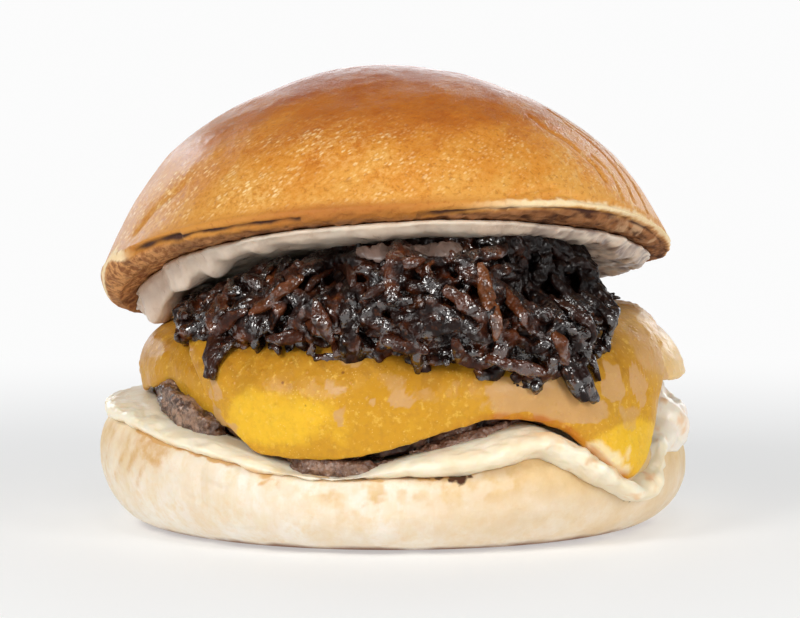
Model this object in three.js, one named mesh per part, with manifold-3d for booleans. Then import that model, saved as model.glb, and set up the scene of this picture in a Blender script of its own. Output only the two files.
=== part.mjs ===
// A cheeseburger in a glazed brioche bun: heel, cream sauce, patty, two draped cheese slices, a heap of
// dark caramelised onion, and a tilted crown with sauce on its toasted cut face.
// Millimetres and degrees. +Z is up and -Y is the front. Angles run anticlockwise from +X, seen from above,
// so the front is -90 and the left side is 180.
import * as THREE from "three";
import Module from "manifold-3d";

const { clamp, degToRad, euclideanModulo, lerp, radToDeg } = THREE.MathUtils;
const wasm = await Module();
wasm.setup();

// Fit and resolution
const GAP = 0.3; // clearance between pieces that rest on each other
const SIDES = 48; // facets round every piece, so that neighbours' faces stay parallel
const CORE_SIDES = 36;

// Driving dimensions. A list of pairs is [angle, value], in rising order of angle.
const HEEL = {
  radius: [[-170, 54.8], [-135, 53.4], [-90, 52], [-50, 53], [-10, 54.3], [30, 53.4], [90, 52], [140, 53.2]],
  rimZ: [[-170, 20.8], [-148, 20.2], [-130, 17.2], [-112, 14.3], [-92, 13.3], [-74, 14.4], [-60, 16.6],
    [-30, 17.4], [0, 17.6], [45, 19.4], [90, 20.4], [150, 21]],
  middleZ: 21.6,
  ledge: 46, // inside this radius the top rises to middleZ, and outside it stays at rimZ
  risePower: 1.6,
  dent: { angle: -141, spread: 14, radius: 43, width: 13, depth: 2.6 }, // under the thick end of the patty
  girth: 0.58, // height of the widest girth, as a share of rimZ
  rimInset: 4.6,
  rimPower: 2.6, // how square the upper edge is
  baseInset: 10.5,
  basePower: 1.85,
};

const PATTY = {
  radius: [[-162, 45.2], [-130, 45], [-90, 45.8], [-45, 46], [0, 46.4], [60, 44.6], [120, 43.6],
    [170, 44.4]],
  topZ: 35.6,
  sag: { front: 5.8, back: 3.6, reach: 50, power: 1.6 }, // how far the top sinks at the reach
  footZ: [[-170, 22.6], [-154, 20], [-142, 17.2], [-128, 17.8], [-109, 14.9], [-95, 14], [-81, 16.2],
    [-63, 20], [-30, 20], [0, 20], [60, 21.4], [120, 22.4]],
  underZ: 22.8, // middle of the underside
  shoulder: 7, // radius of the upper edge
  foot: 2.2, // radius of the lower edge
  crag: 1.2, // depth of the coarse relief of the mince
};

const CHEESE = {
  thickness: 2.1,
  air: 0.5, // between the two slices
  flarePower: 1.25,
};

// Each slice hangs this far past the start of the patty's shoulder, and its free edge stands off by flare.
const LOWER_SLICE = {
  hang: [[-172, 14], [-160, 13.2], [-149, 10.5], [-138, 7], [-100, 12], [-60, 9], [-35, 10], [-15, 11.5],
    [0, 11.6], [18, 12], [45, 7], [88, 14.5], [130, 5], [165, 12]],
  flare: [[-165, 0.5], [-140, 0.2], [-60, 0.2], [-35, 1], [-15, 3.8], [0, 4.9], [18, 4], [45, 1],
    [120, 0.5]],
};
const UPPER_SLICE = {
  hang: [[-150, 1], [-143, 4.6], [-134, 9], [-126, 14.4], [-119, 18.8], [-109, 19.4], [-96, 18.2], [-79, 14],
    [-67, 12.6], [-56, 15.2], [-50, 19.4], [-44, 23.2], [-38, 22.2], [-33, 18.4], [-27, 10], [-18, 6], [0, 3],
    [20, 3], [55, 14.5], [100, 5], [145, 11], [172, 2]],
  flare: [[-150, 0.2], [-120, 0.4], [-66, 0.3], [-56, 1.2], [-50, 3.2], [-44, 5], [-36, 4.6], [-28, 1.6],
    [-10, 0.2], [20, 0.2], [55, 1.4], [100, 0.4], [145, 1], [172, 0.1]],
};

// Cream sauce between the heel and the patty, squeezed out all round
const SAUCE = {
  crestRadius: 49.3,
  crestZ: [[-170, 23.8], [-152, 23], [-141, 20.6], [-134, 19.2], [-118, 16], [-101, 14], [-93, 13.9],
    [-81, 16.4], [-72, 18.8], [-62, 21.5], [-52, 20.8], [-40, 18.6], [-30, 19], [-16, 25], [0, 26],
    [16, 24.6], [40, 22.6], [90, 23.2], [150, 23.6]],
  // where it ends on the heel's side: it runs down at the front right
  endZ: [[-170, 20.4], [-151, 19.8], [-134, 17.2], [-116, 14.4], [-101, 13.2], [-88, 13.2], [-74, 14],
    [-61, 15.9], [-56, 13.8], [-51, 11.4], [-45, 9.2], [-38, 7.2], [-34, 8.4], [-30, 13.6], [-20, 14.6],
    [0, 14.8], [20, 15.6], [40, 17], [60, 18.4], [90, 19.6], [130, 20.2]],
  bulge: [[-170, 1.2], [-130, 1.3], [-100, 1], [-80, 2.2], [-58, 3], [-45, 3.6], [-34, 2.4], [-20, 0.7],
    [0, 0.3], [20, 0.8], [60, 1.6], [120, 1.3]],
  lip: 1.1, // thickness of its lower edge
};

// The crown's cut face is z = 0 in its own frame, and the dome rises from it.
const CROWN = {
  centre: [-1.5, 0, 48.3],
  tilt: 9.9, // the front is raised
  roll: 2.9, // the right side is raised
  radius: 52.9,
  height: 36.3,
  domePower: 1.72, // under 2, so the dome is a little pointed
  // how far the rim stands out from the dome
  flare: [[-175, 4.4], [-130, 3], [-90, 2.2], [0, 2.3], [90, 2.6]],
  widestZ: [[-175, 6.4], [-135, 3.2], [-90, 1.9], [-40, 2.9], [-12, 2.2], [10, 1.4], [90, 3.2], [150, 5.8]],
  chamfer: [[-175, 3.2], [-135, 1.6], [-100, 0.8], [-60, 1.2], [-35, 2.2], [-12, 1.4], [10, 0.8], [90, 1.8],
    [150, 2.8]],
  chamferWidth: 3.2,
  // the unsupported rims at the left and right bend down, outside a radius
  bends: [
    { angle: 168, spread: 44, depth: 9.2, from: 36 },
    { angle: 2, spread: 36, depth: 2.4, from: 36 },
  ],
};

// Sauce on the cut face
const SPREAD = {
  thickness: 1.9,
  wave: 0.5,
  margin: [[-170, 5], [-130, 4.8], [-90, 4], [-50, 4.6], [-10, 5.8], [60, 5.8], [140, 5.4]], // bare rim
  rings: [36, 39.5, 43, 46], // radii where it and the cut face bend together
};

const ONION = {
  footRadius: [[-170, 39.8], [-145, 42.6], [-120, 44.6], [-98, 46], [-76, 48.6], [-56, 50.2], [-42, 47.6],
    [-25, 42.4], [0, 40.2], [50, 41], [100, 42], [150, 40.6]],
  footZ: [[-170, 36.4], [-145, 34], [-120, 34.6], [-98, 34], [-80, 31.6], [-60, 29.6], [-48, 28.4],
    [-38, 32], [-15, 36], [0, 37], [60, 35], [100, 33.4], [150, 35.5]],
  lean: 0.1, // how much narrower the heap is at its top
  belly: 0.05, // how much wider it is half way up
  // free height under the sauce
  headroom: [[-165, 3.6], [-140, 4.4], [-126, 2], [-114, 2], [-106, 0], [-90, -1.4], [-48, -1.2],
    [-36, -0.6], [-24, 3], [0, 4], [60, 2], [120, 2]],
  strips: 30,
  width: [2.8, 4.6],
  thickness: [1.8, 2.6],
  length: [11, 21],
  sides: 5,
  steps: 4,
};

// Strips that hang over the cheese: start angle, start drop, end angle, end drop, width, thickness
const DANGLERS = [
  [-136, 0, -130, 7.5, 3.6, 2],
  [-123, 0, -114, 4.5, 2.8, 1.8],
  [-103, 1, -101, 4.5, 3.2, 2],
  [-67, 2, -55, 10.5, 4.4, 2.4],
  [-59, 1, -50, 11.5, 3.8, 2.2],
  [34, 0, 41, 8, 3.4, 1.8],
  [99, 0, 106, 8, 3.6, 1.8],
  [158, 0, 150, 8, 3.4, 1.8],
];

// Curves and solids

// A smooth value by angle, from pairs in rising order of angle.
function around(pairs, angle) {
  const count = pairs.length;
  const turned = euclideanModulo(angle - pairs[0][0], 360) + pairs[0][0];
  let i = count - 1;
  while (pairs[i][0] > turned) i -= 1;
  const at = (k) => {
    const [a, value] = pairs[euclideanModulo(k, count)];
    return [a + 360 * Math.floor(k / count), value];
  };
  const [before, start, end, after] = [at(i - 1), at(i), at(i + 1), at(i + 2)];
  const span = end[0] - start[0];
  const t = (turned - start[0]) / span;
  const leave = ((end[1] - before[1]) / (end[0] - before[0])) * span;
  const arrive = ((after[1] - start[1]) / (after[0] - start[0])) * span;
  return (
    start[1] * (1 + 2 * t) * (1 - t) ** 2 +
    leave * t * (1 - t) ** 2 +
    end[1] * t * t * (3 - 2 * t) +
    arrive * t * t * (t - 1)
  );
}

// A bell of height 1 at one angle.
function bell(angle, centre, spread) {
  const off = euclideanModulo(angle - centre + 180, 360) - 180;
  return Math.exp(-((off / spread) ** 2));
}

// A quarter of a superellipse: [across, up] runs from [1, 0] to [0, 1].
function superArc(share, power) {
  const turn = (share * Math.PI) / 2;
  return [Math.cos(turn) ** (2 / power), Math.sin(turn) ** (2 / power)];
}

function polar(r, angle, z) {
  const a = degToRad(angle);
  return new THREE.Vector3(r * Math.cos(a), r * Math.sin(a), z);
}

function levelAt(level, r, angle) {
  const { x, y } = polar(r, angle, 0);
  return level(x, y);
}

// The closed surface through rings that run from a pole, outward and up, to the other pole.
function ringGeometry(rings) {
  const positions = rings.flat().flatMap((p) => [p.x, p.y, p.z]);
  const index = [];
  let first = 0;
  for (let j = 0; j + 1 < rings.length; j += 1) {
    const below = rings[j].length;
    const above = rings[j + 1].length;
    const next = first + below;
    const count = Math.max(below, above);
    for (let i = 0; i < count; i += 1) {
      const k = (i + 1) % count;
      if (below === 1) index.push(first, next + k, next + i);
      else if (above === 1) index.push(first + i, first + k, next);
      else index.push(first + i, first + k, next + k, first + i, next + k, next + i);
    }
    first = next;
  }
  return new THREE.BufferGeometry()
    .setAttribute("position", new THREE.Float32BufferAttribute(positions, 3))
    .setIndex(index);
}

// A body round the Z axis, from a function that gives [radius, height] at a step and an angle.
function turnedGeometry(steps, sides, pointAt) {
  const rings = steps.map((step, j) => {
    const pole = j === 0 || j === steps.length - 1;
    return Array.from({ length: pole ? 1 : sides }, (_, i) => {
      const angle = (360 * i) / sides - 180;
      const [r, z] = pointAt(step, angle);
      return polar(pole ? 0 : r, angle, z);
    });
  });
  return ringGeometry(rings);
}

function part(name, shares) {
  return shares.map((share) => ({ part: name, share }));
}

function toSolid(geometry) {
  return new wasm.Manifold(
    new wasm.Mesh({
      numProp: 3,
      vertProperties: geometry.attributes.position.array,
      triVerts: new Uint32Array(geometry.index.array),
    }),
  );
}

function toGeometry(solid) {
  const mesh = solid.getMesh();
  return new THREE.BufferGeometry()
    .setAttribute("position", new THREE.BufferAttribute(mesh.vertProperties, 3))
    .setIndex(new THREE.BufferAttribute(mesh.triVerts, 1));
}

function largest(solid) {
  return solid.decompose().reduce((a, b) => (b.volume() > a.volume() ? b : a));
}

// Heel of the bun. grow swells a piece, for the clearance that is cut from its neighbours.

function heelTop(r, angle) {
  const rim = around(HEEL.rimZ, angle);
  const share = Math.min(r / HEEL.ledge, 1);
  const { angle: centre, spread, radius, width, depth } = HEEL.dent;
  const dent = depth * bell(angle, centre, spread) * Math.exp(-(((r - radius) / width) ** 2));
  return lerp(HEEL.middleZ, rim, share ** HEEL.risePower) - dent;
}

// The heel's outline from its widest girth: up 1 is its upper edge, and up -1 its base.
function heelSide(angle, up, grow = 0) {
  const radius = around(HEEL.radius, angle) + grow;
  const rim = around(HEEL.rimZ, angle);
  const girth = HEEL.girth * rim;
  const above = up >= 0;
  const [across, rise] = superArc(Math.abs(up), above ? HEEL.rimPower : HEEL.basePower);
  const inset = above ? HEEL.rimInset : HEEL.baseInset;
  const height = above ? rim + grow - girth : -girth;
  return [radius - inset * (1 - across), girth + height * rise];
}

function heelGeometry(grow = 0) {
  const steps = [
    ...part("base", [0, 0.55]),
    ...part("side", [-1, -0.75, -0.5, -0.25, 0, 0.35, 0.6, 0.8, 1]),
    ...part("top", [0.86, 0.6, 0]),
  ];
  return turnedGeometry(steps, SIDES, ({ part: name, share }, angle) => {
    if (name === "side") return heelSide(angle, share, grow);
    if (name === "base") return [heelSide(angle, -1, grow)[0] * share, 0];
    const r = heelSide(angle, 1, grow)[0] * share;
    return [r, heelTop(r, angle) + grow];
  });
}

// Patty

function pattyTop(x, y) {
  const { front, back, reach, power } = PATTY.sag;
  return PATTY.topZ - (y < 0 ? front : back) * (Math.abs(y) / reach) ** power;
}

function pattyUnder(r, angle) {
  return lerp(PATTY.underZ, around(PATTY.footZ, angle), Math.min(r / HEEL.ledge, 1) ** HEEL.risePower);
}

// Coarse lumps of mince: 0 on the smooth outline, down to -1.
function meatRelief(angle, level) {
  const a = degToRad(angle);
  const coarse = Math.sin(7 * a + 1.3 + 2.1 * level) * Math.cos(4 * a - 0.6 + 1.7 * level);
  const fine = Math.sin(17 * a + 2.4 - 2.6 * level) * Math.cos(11 * a + 1.1 * level);
  return -0.5 + 0.3 * coarse + 0.2 * fine;
}

function pattyGeometry(grow = 0) {
  const steps = [
    ...part("under", [0, 0.6]),
    ...part("foot", [0, 0.5, 1]),
    ...part("shoulder", [1, 0.66, 0.33, 0]),
    ...part("top", [0.6, 0]),
  ];
  const crag = grow > 0 ? 0 : PATTY.crag;
  return turnedGeometry(steps, SIDES, ({ part: name, share }, angle) => {
    const radius = around(PATTY.radius, angle) + grow;
    const upper = name === "shoulder";
    const round = upper ? PATTY.shoulder : PATTY.foot;
    const flat = radius - round;
    if (name === "under") return [flat * share, pattyUnder(flat * share, angle) - grow];
    if (name === "top") return [flat * share, levelAt(pattyTop, flat * share, angle) + grow];
    const turn = (share * Math.PI) / 2;
    const rough = crag * meatRelief(angle, upper ? 1 + share : -share) * share;
    const r = flat + round * Math.sin(turn) + rough;
    const drop = round * (1 - Math.cos(turn));
    if (upper) return [r, levelAt(pattyTop, flat, angle) + grow - drop];
    return [r, pattyUnder(flat, angle) - grow + drop];
  });
}

// Cheese

// The patty's smooth outline, past the start of its shoulder, with an offset outward.
function drape(angle, past, offset) {
  const start = around(PATTY.radius, angle) - PATTY.shoulder;
  if (past <= 0) return [start + past, levelAt(pattyTop, start + past, angle) + offset];
  const bend = Math.min(past / PATTY.shoulder, Math.PI / 2);
  const below = Math.max(past - (PATTY.shoulder * Math.PI) / 2, 0);
  const reach = PATTY.shoulder + offset;
  const centre = levelAt(pattyTop, start, angle) - PATTY.shoulder;
  return [start + reach * Math.sin(bend), centre + reach * Math.cos(bend) - below];
}

// How far a slice stands off what it lies on.
function standOff({ hang, flare }, angle, past) {
  const share = clamp(past / around(hang, angle), 0, 1);
  return around(flare, angle) * share ** CHEESE.flarePower;
}

function sliceGeometry(slice, grow = 0) {
  const inner = [0, 0.6];
  const outer = [0, 0.14, 0.28, 0.42, 0.56, 0.7, 0.85, 1];
  const under = [...part("lie", inner), ...part("hang", outer)].map((step) => ({ ...step, face: 0 }));
  const over = under.map((step) => ({ ...step, face: 1 })).reverse();
  const edge = { part: "hang", share: 1, face: 0.5 };
  const upper = slice === UPPER_SLICE;
  const base = GAP + (upper ? CHEESE.thickness + CHEESE.air : 0);
  return turnedGeometry([...under, edge, ...over], SIDES, ({ part: name, share, face }, angle) => {
    const offset = base - grow + face * (CHEESE.thickness + 2 * grow);
    if (name === "lie") {
      const start = around(PATTY.radius, angle) - PATTY.shoulder;
      return drape(angle, (share - 1) * start, offset);
    }
    const past = share * (around(slice.hang, angle) + grow);
    const below = upper ? standOff(LOWER_SLICE, angle, past) : 0;
    const tip = face === 0.5 ? CHEESE.thickness / 2 : 0;
    return drape(angle, past + tip, offset + below + standOff(slice, angle, past));
  });
}

// Sauce under the patty

function heelRadiusAt(angle, z) {
  const rim = around(HEEL.rimZ, angle);
  const girth = HEEL.girth * rim;
  const above = z >= girth;
  const rise = clamp(above ? (z - girth) / (rim - girth) : (girth - z) / girth, 0, 1);
  const power = above ? HEEL.rimPower : HEEL.basePower;
  const across = (1 - rise ** power) ** (1 / power);
  return around(HEEL.radius, angle) - (above ? HEEL.rimInset : HEEL.baseInset) * (1 - across);
}

function sauceGeometry() {
  const sunk = 2; // the body starts inside the heel, which is then cut from it
  const steps = [
    ...part("under", [0, 0.6, 0.9]),
    ...part("end", [-1, 1]),
    ...part("face", [0.25, 0.5, 0.75, 0.92]),
    ...part("crest", [1, 0.93]),
    ...part("over", [0.8, 0.4, 0]),
  ];
  return turnedGeometry(steps, SIDES, ({ part: name, share }, angle) => {
    const crest = around(SAUCE.crestZ, angle);
    const end = around(SAUCE.endZ, angle);
    const side = heelRadiusAt(angle, end);
    if (name === "under") return [side * share, heelTop(side * share, angle) - sunk];
    if (name === "end") return [side + share * SAUCE.lip, end + 0.3 * share];
    if (name === "crest") return [SAUCE.crestRadius * share, crest];
    if (name === "over") return [SAUCE.crestRadius * share, pattyUnder(SAUCE.crestRadius * share, angle) + 1];
    const bulge = around(SAUCE.bulge, angle) * Math.sin(Math.PI * share);
    const r = lerp(side + SAUCE.lip, SAUCE.crestRadius, share ** 2.4) + bulge;
    return [r, lerp(end, crest, share ** 0.9)];
  });
}

// Crown of the bun and the sauce on its cut face

function crownBend(r, angle) {
  const drops = CROWN.bends.map(({ angle: centre, spread, depth, from }) => {
    const out = Math.max(r - from, 0) / (CROWN.radius - from);
    return depth * bell(angle, centre, spread) * out ** 2;
  });
  return -drops.reduce((a, b) => a + b);
}

function crownGeometry(grow = 0) {
  const steps = [
    ...part("cut", [0, ...SPREAD.rings, CROWN.radius - CROWN.chamferWidth]),
    ...part("edge", [0]),
    ...part("dome", [0, 0.12, 0.26, 0.42, 0.58, 0.74, 0.88, 1]),
  ];
  return turnedGeometry(steps, SIDES, ({ part: name, share }, angle) => {
    const radius = CROWN.radius + grow;
    const chamfer = around(CROWN.chamfer, angle);
    const widest = Math.max(around(CROWN.widestZ, angle), chamfer + 0.4);
    let r = share;
    let z = -grow;
    if (name === "edge") {
      r = radius - 0.8;
      z = chamfer - grow;
    }
    if (name === "dome") {
      const [across, up] = superArc(share, CROWN.domePower);
      const flare = around(CROWN.flare, angle);
      r = (radius - flare) * across + flare * (1 - share) ** 5;
      z = lerp(widest, CROWN.height + grow, up);
    }
    return [r, z + crownBend(r, angle)];
  });
}

function spreadGeometry(grow = 0) {
  const steps = [
    ...part("under", [0, ...SPREAD.rings]),
    ...part("edge", [0.5]),
    ...part("over", [0, ...SPREAD.rings].reverse()),
  ];
  return turnedGeometry(steps, SIDES, ({ part: name, share }, angle) => {
    const ripple = SPREAD.wave * Math.sin(degToRad(9 * angle) + 1);
    const rim = CROWN.radius - around(SPREAD.margin, angle) + ripple + grow;
    const r = name === "edge" ? rim : share;
    const sink = { under: 1, edge: 0.5, over: 0 }[name];
    return [r, -GAP + grow - sink * (SPREAD.thickness + 2 * grow) + crownBend(r, angle)];
  });
}

function crownMatrix() {
  return new THREE.Matrix4()
    .makeTranslation(...CROWN.centre)
    .multiply(new THREE.Matrix4().makeRotationX(degToRad(-CROWN.tilt)))
    .multiply(new THREE.Matrix4().makeRotationY(degToRad(-CROWN.roll)));
}

// The height of the plane of the cut face over a point of the stack.
function cutPlane(x, y) {
  const normal = new THREE.Vector3(0, 0, 1).transformDirection(crownMatrix());
  const [cx, cy, cz] = CROWN.centre;
  return cz - (normal.x * (x - cx) + normal.y * (y - cy)) / normal.z;
}

// Onion heap

function heapTopZ(angle, r) {
  return levelAt(cutPlane, r, angle) - SPREAD.thickness - GAP - around(ONION.headroom, angle);
}

// A point of the heap's flank: rise 0 is its foot and 1 its upper edge.
function flank(angle, rise, offset) {
  const share = clamp(rise, 0, 1);
  const shape = 1 - ONION.lean * share ** 2 + ONION.belly * Math.sin(Math.PI * share);
  const foot = around(ONION.footRadius, angle);
  const low = around(ONION.footZ, angle);
  return polar(foot * shape + offset, angle, lerp(low, heapTopZ(angle, foot * (1 - ONION.lean)), rise));
}

function heapGeometry() {
  const steps = [
    ...part("under", [0, 0.6]),
    ...part("flank", [0, 0.3, 0.65, 0.95]),
    ...part("over", [0.7, 0.45, 0]),
  ];
  return turnedGeometry(steps, CORE_SIDES, ({ part: name, share }, angle) => {
    const r = around(ONION.footRadius, angle) * share;
    if (name === "under") return [r, levelAt(pattyTop, r, angle) + CHEESE.thickness];
    if (name === "over") return [r, levelAt(cutPlane, r, angle) - SPREAD.thickness];
    const lump = 0.8 * Math.sin(degToRad(8 * angle) + 5 * share);
    const point = flank(angle, share, lump - 0.8);
    return [Math.hypot(point.x, point.y), point.z];
  });
}

// A flat strip with a rounded section along points that each carry an outward normal.
function stripGeometry(path, width, thickness) {
  const last = path.length - 1;
  const rings = path.map(({ point, normal }, i) => {
    if (i === 0 || i === last) return [point];
    const along = path[i + 1].point.clone().sub(path[i - 1].point).normalize();
    const side = normal.clone().cross(along).normalize();
    const up = along.clone().cross(side);
    const taper = Math.sin(Math.PI * lerp(0.2, 0.8, i / last)) ** 0.5;
    return Array.from({ length: ONION.sides }, (_, k) => {
      const a = (2 * Math.PI * k) / ONION.sides;
      return point
        .clone()
        .addScaledVector(side, Math.cos(a) * taper * (width / 2))
        .addScaledVector(up, Math.sin(a) * (thickness / 2));
    });
  });
  return ringGeometry(rings);
}

// Repeatable random numbers from 0 to 1.
function seeded(seed) {
  let state = seed;
  return () => {
    state = (state * 1664525 + 1013904223) % 4294967296;
    return state / 4294967296;
  };
}

function flankStrips() {
  const random = seeded(7);
  const within = ([low, high]) => lerp(low, high, random());
  return Array.from({ length: ONION.strips }, (_, i) => {
    const start = -180 + (360 * i) / ONION.strips + 6 * random();
    const rise = 0.12 + 0.74 * ((i * 0.618) % 1);
    const slant = degToRad(lerp(-60, 60, random()));
    const length = within(ONION.length);
    const width = within(ONION.width);
    const thickness = within(ONION.thickness);
    const height = flank(start, 1, 0).z - flank(start, 0, 0).z;
    const foot = around(ONION.footRadius, start);
    const path = Array.from({ length: ONION.steps + 2 }, (_, k) => {
      const along = (k / (ONION.steps + 1) - 0.5) * length;
      const angle = start + radToDeg((along * Math.cos(slant)) / foot);
      const level = clamp(rise + (along * Math.sin(slant)) / height, 0, 0.96);
      return { point: flank(angle, level, 0.2), normal: polar(1, angle, 0.15).normalize() };
    });
    return stripGeometry(path, width, thickness);
  });
}

function danglerGeometry([fromAngle, fromDrop, toAngle, toDrop, width, thickness]) {
  const off = 2 * (CHEESE.thickness + GAP) + CHEESE.air + thickness / 2;
  const path = Array.from({ length: ONION.steps + 2 }, (_, k) => {
    const share = k / (ONION.steps + 1);
    const angle = lerp(fromAngle, toAngle, share ** 1.5);
    const past = lerp(fromDrop - 2, toDrop + 2, share);
    const [r, z] = drape(angle, past, off);
    const bend = clamp(past / PATTY.shoulder, 0, Math.PI / 2);
    return { point: polar(r, angle, z), normal: polar(Math.sin(bend), angle, Math.cos(bend)) };
  });
  return stripGeometry(path, width, thickness);
}

// Pieces cut back so that they lie clear of what they touch

const swollen = {
  heel: toSolid(heelGeometry(GAP)),
  patty: toSolid(pattyGeometry(GAP)),
  lowerSlice: toSolid(sliceGeometry(LOWER_SLICE, GAP)),
  upperSlice: toSolid(sliceGeometry(UPPER_SLICE, GAP)),
  crown: toSolid(crownGeometry(GAP).applyMatrix4(crownMatrix())),
  spread: toSolid(spreadGeometry(GAP).applyMatrix4(crownMatrix())),
};

const sauce = largest(
  toSolid(sauceGeometry())
    .subtract(swollen.heel)
    .subtract(swollen.patty)
    .subtract(swollen.lowerSlice)
    .subtract(swollen.upperSlice),
);

const strips = [...flankStrips(), ...DANGLERS.map(danglerGeometry)].map(toSolid);
const onions = largest(
  strips
    .reduce((heap, strip) => heap.add(strip), toSolid(heapGeometry()))
    .subtract(swollen.lowerSlice)
    .subtract(swollen.upperSlice)
    .subtract(swollen.crown)
    .subtract(swollen.spread),
);

// The scene graph

function piece(name, geometry, color, roughness) {
  const mesh = new THREE.Mesh(geometry, new THREE.MeshStandardMaterial({ color, roughness, metalness: 0 }));
  mesh.name = name;
  return mesh;
}

const crown = new THREE.Group();
crown.applyMatrix4(crownMatrix());
crown.add(
  piece("crown_bun", crownGeometry(), 0xc98440, 0.3),
  piece("sauce_crown", spreadGeometry(), 0xd9cbb8, 0.4),
);

const burger = new THREE.Group();
burger.add(
  piece("heel_bun", heelGeometry(), 0xf3e3c4, 0.7),
  piece("sauce_heel", toGeometry(sauce), 0xf6ecd6, 0.4),
  piece("patty", pattyGeometry(), 0x6b4a38, 0.6),
  piece("cheese_lower", sliceGeometry(LOWER_SLICE), 0xd9a640, 0.35),
  piece("cheese_upper", sliceGeometry(UPPER_SLICE), 0xe8b23c, 0.35),
  piece("onions", toGeometry(onions), 0x2a1613, 0.2),
  crown,
);

export default burger;
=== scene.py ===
"""Looks of a cheeseburger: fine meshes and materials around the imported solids.

Lengths in the tables are millimetres, as in the solids' source, and become metres when a mesh is made.
Angles are degrees anticlockwise from +X, seen from above: the front is -90 and the left side is 180.
"""

import math

import bpy
import numpy as np
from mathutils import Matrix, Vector


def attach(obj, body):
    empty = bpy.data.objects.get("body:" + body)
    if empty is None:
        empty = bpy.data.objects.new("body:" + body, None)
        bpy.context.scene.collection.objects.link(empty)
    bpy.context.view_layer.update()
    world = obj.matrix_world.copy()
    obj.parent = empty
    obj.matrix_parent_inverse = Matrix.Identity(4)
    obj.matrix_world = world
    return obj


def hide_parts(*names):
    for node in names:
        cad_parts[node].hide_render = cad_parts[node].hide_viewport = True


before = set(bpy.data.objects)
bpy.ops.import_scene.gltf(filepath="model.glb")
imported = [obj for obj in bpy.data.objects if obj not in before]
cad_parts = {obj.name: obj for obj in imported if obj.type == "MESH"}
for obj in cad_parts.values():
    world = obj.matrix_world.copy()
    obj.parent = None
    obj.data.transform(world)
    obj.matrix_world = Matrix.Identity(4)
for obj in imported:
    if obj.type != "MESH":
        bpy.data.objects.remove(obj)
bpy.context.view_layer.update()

MM = 0.001
SEED = 20
UP = np.array([0.0, 0.0, 1.0])
SIDE_RADIUS = 51.0  # to turn angles into millimetres round the side
HEEL_RADIUS = 53.0
CHEESE_RADIUS = 49.0

# Dimensions close to the solids' own, a few fitted closer to the photo. A list of pairs is [angle, value].
HEEL = {
    "radius": [[-170, 54.8], [-135, 53.4], [-90, 52], [-50, 53], [-10, 54.3], [30, 53.4], [90, 52],
               [140, 53.2]],
    "rim": [[-170, 20.8], [-148, 20.2], [-130, 17.2], [-112, 14.3], [-92, 13.3], [-74, 14.4], [-60, 16.6],
            [-30, 17.4], [0, 17.6], [45, 19.4], [90, 20.4], [150, 21]],
    "middle": 21.6, "ledge": 46, "rise": 1.6,
    "dent": {"angle": -141, "spread": 14, "radius": 43, "width": 13, "depth": 2.6}, "girth": 0.58,
    "rim_inset": 4.6, "rim_power": 2.6, "base_inset": 10.5, "base_power": 1.85,
}
PATTY = {
    "radius": [[-162, 45.2], [-130, 45], [-90, 45.8], [-45, 46], [0, 46.4], [60, 44.6], [120, 43.6],
               [170, 44.4]],
    "top": 35.6, "sag": {"front": 5.8, "back": 3.6, "reach": 50, "power": 1.6},
    "foot": [[-170, 22.6], [-154, 20], [-142, 17.2], [-128, 17.8], [-109, 14.9], [-95, 14], [-81, 16.2],
             [-63, 20], [-30, 20], [0, 20], [60, 21.4], [120, 22.4]],
    "under": 22.8, "shoulder": 7, "foot_round": 2.2,
}
GAP = 0.3
CHEESE = {"thickness": 2.1, "air": 0.5, "flare_power": 1.25}
LOWER_SLICE = {
    "hang": [[-172, 14], [-160, 12.6], [-149, 10], [-144, 11.4], [-138, 13.4], [-131, 15.4], [-122, 16.4],
             [-100, 12], [-60, 9], [-35, 10], [-15, 11.5], [0, 11.6], [18, 12], [45, 7], [88, 14.5],
             [130, 5], [165, 12]],
    "flare": [[-165, 0.5], [-140, 0.2], [-60, 0.2], [-35, 1], [-15, 5.2], [0, 6.4], [18, 5.2], [45, 1],
              [120, 0.5]],
}
UPPER_SLICE = {
    "hang": [[-150, 1], [-143, 4.6], [-134, 9], [-126, 14.4], [-119, 18.8], [-109, 19.4], [-96, 18.2],
             [-79, 14], [-67, 12.6], [-56, 15.2], [-50, 20], [-44, 25.2], [-38, 23.4], [-33, 18.4],
             [-27, 10], [-18, 6], [0, 3], [20, 3], [55, 14.5], [100, 5], [145, 11], [172, 2]],
    "flare": [[-150, 0.2], [-120, 0.4], [-66, 0.3], [-56, 1.2], [-50, 3.2], [-44, 5], [-36, 4.6],
              [-28, 1.6], [-10, 0.2], [20, 0.2], [55, 1.4], [100, 0.4], [145, 1], [172, 0.1]],
}
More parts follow.
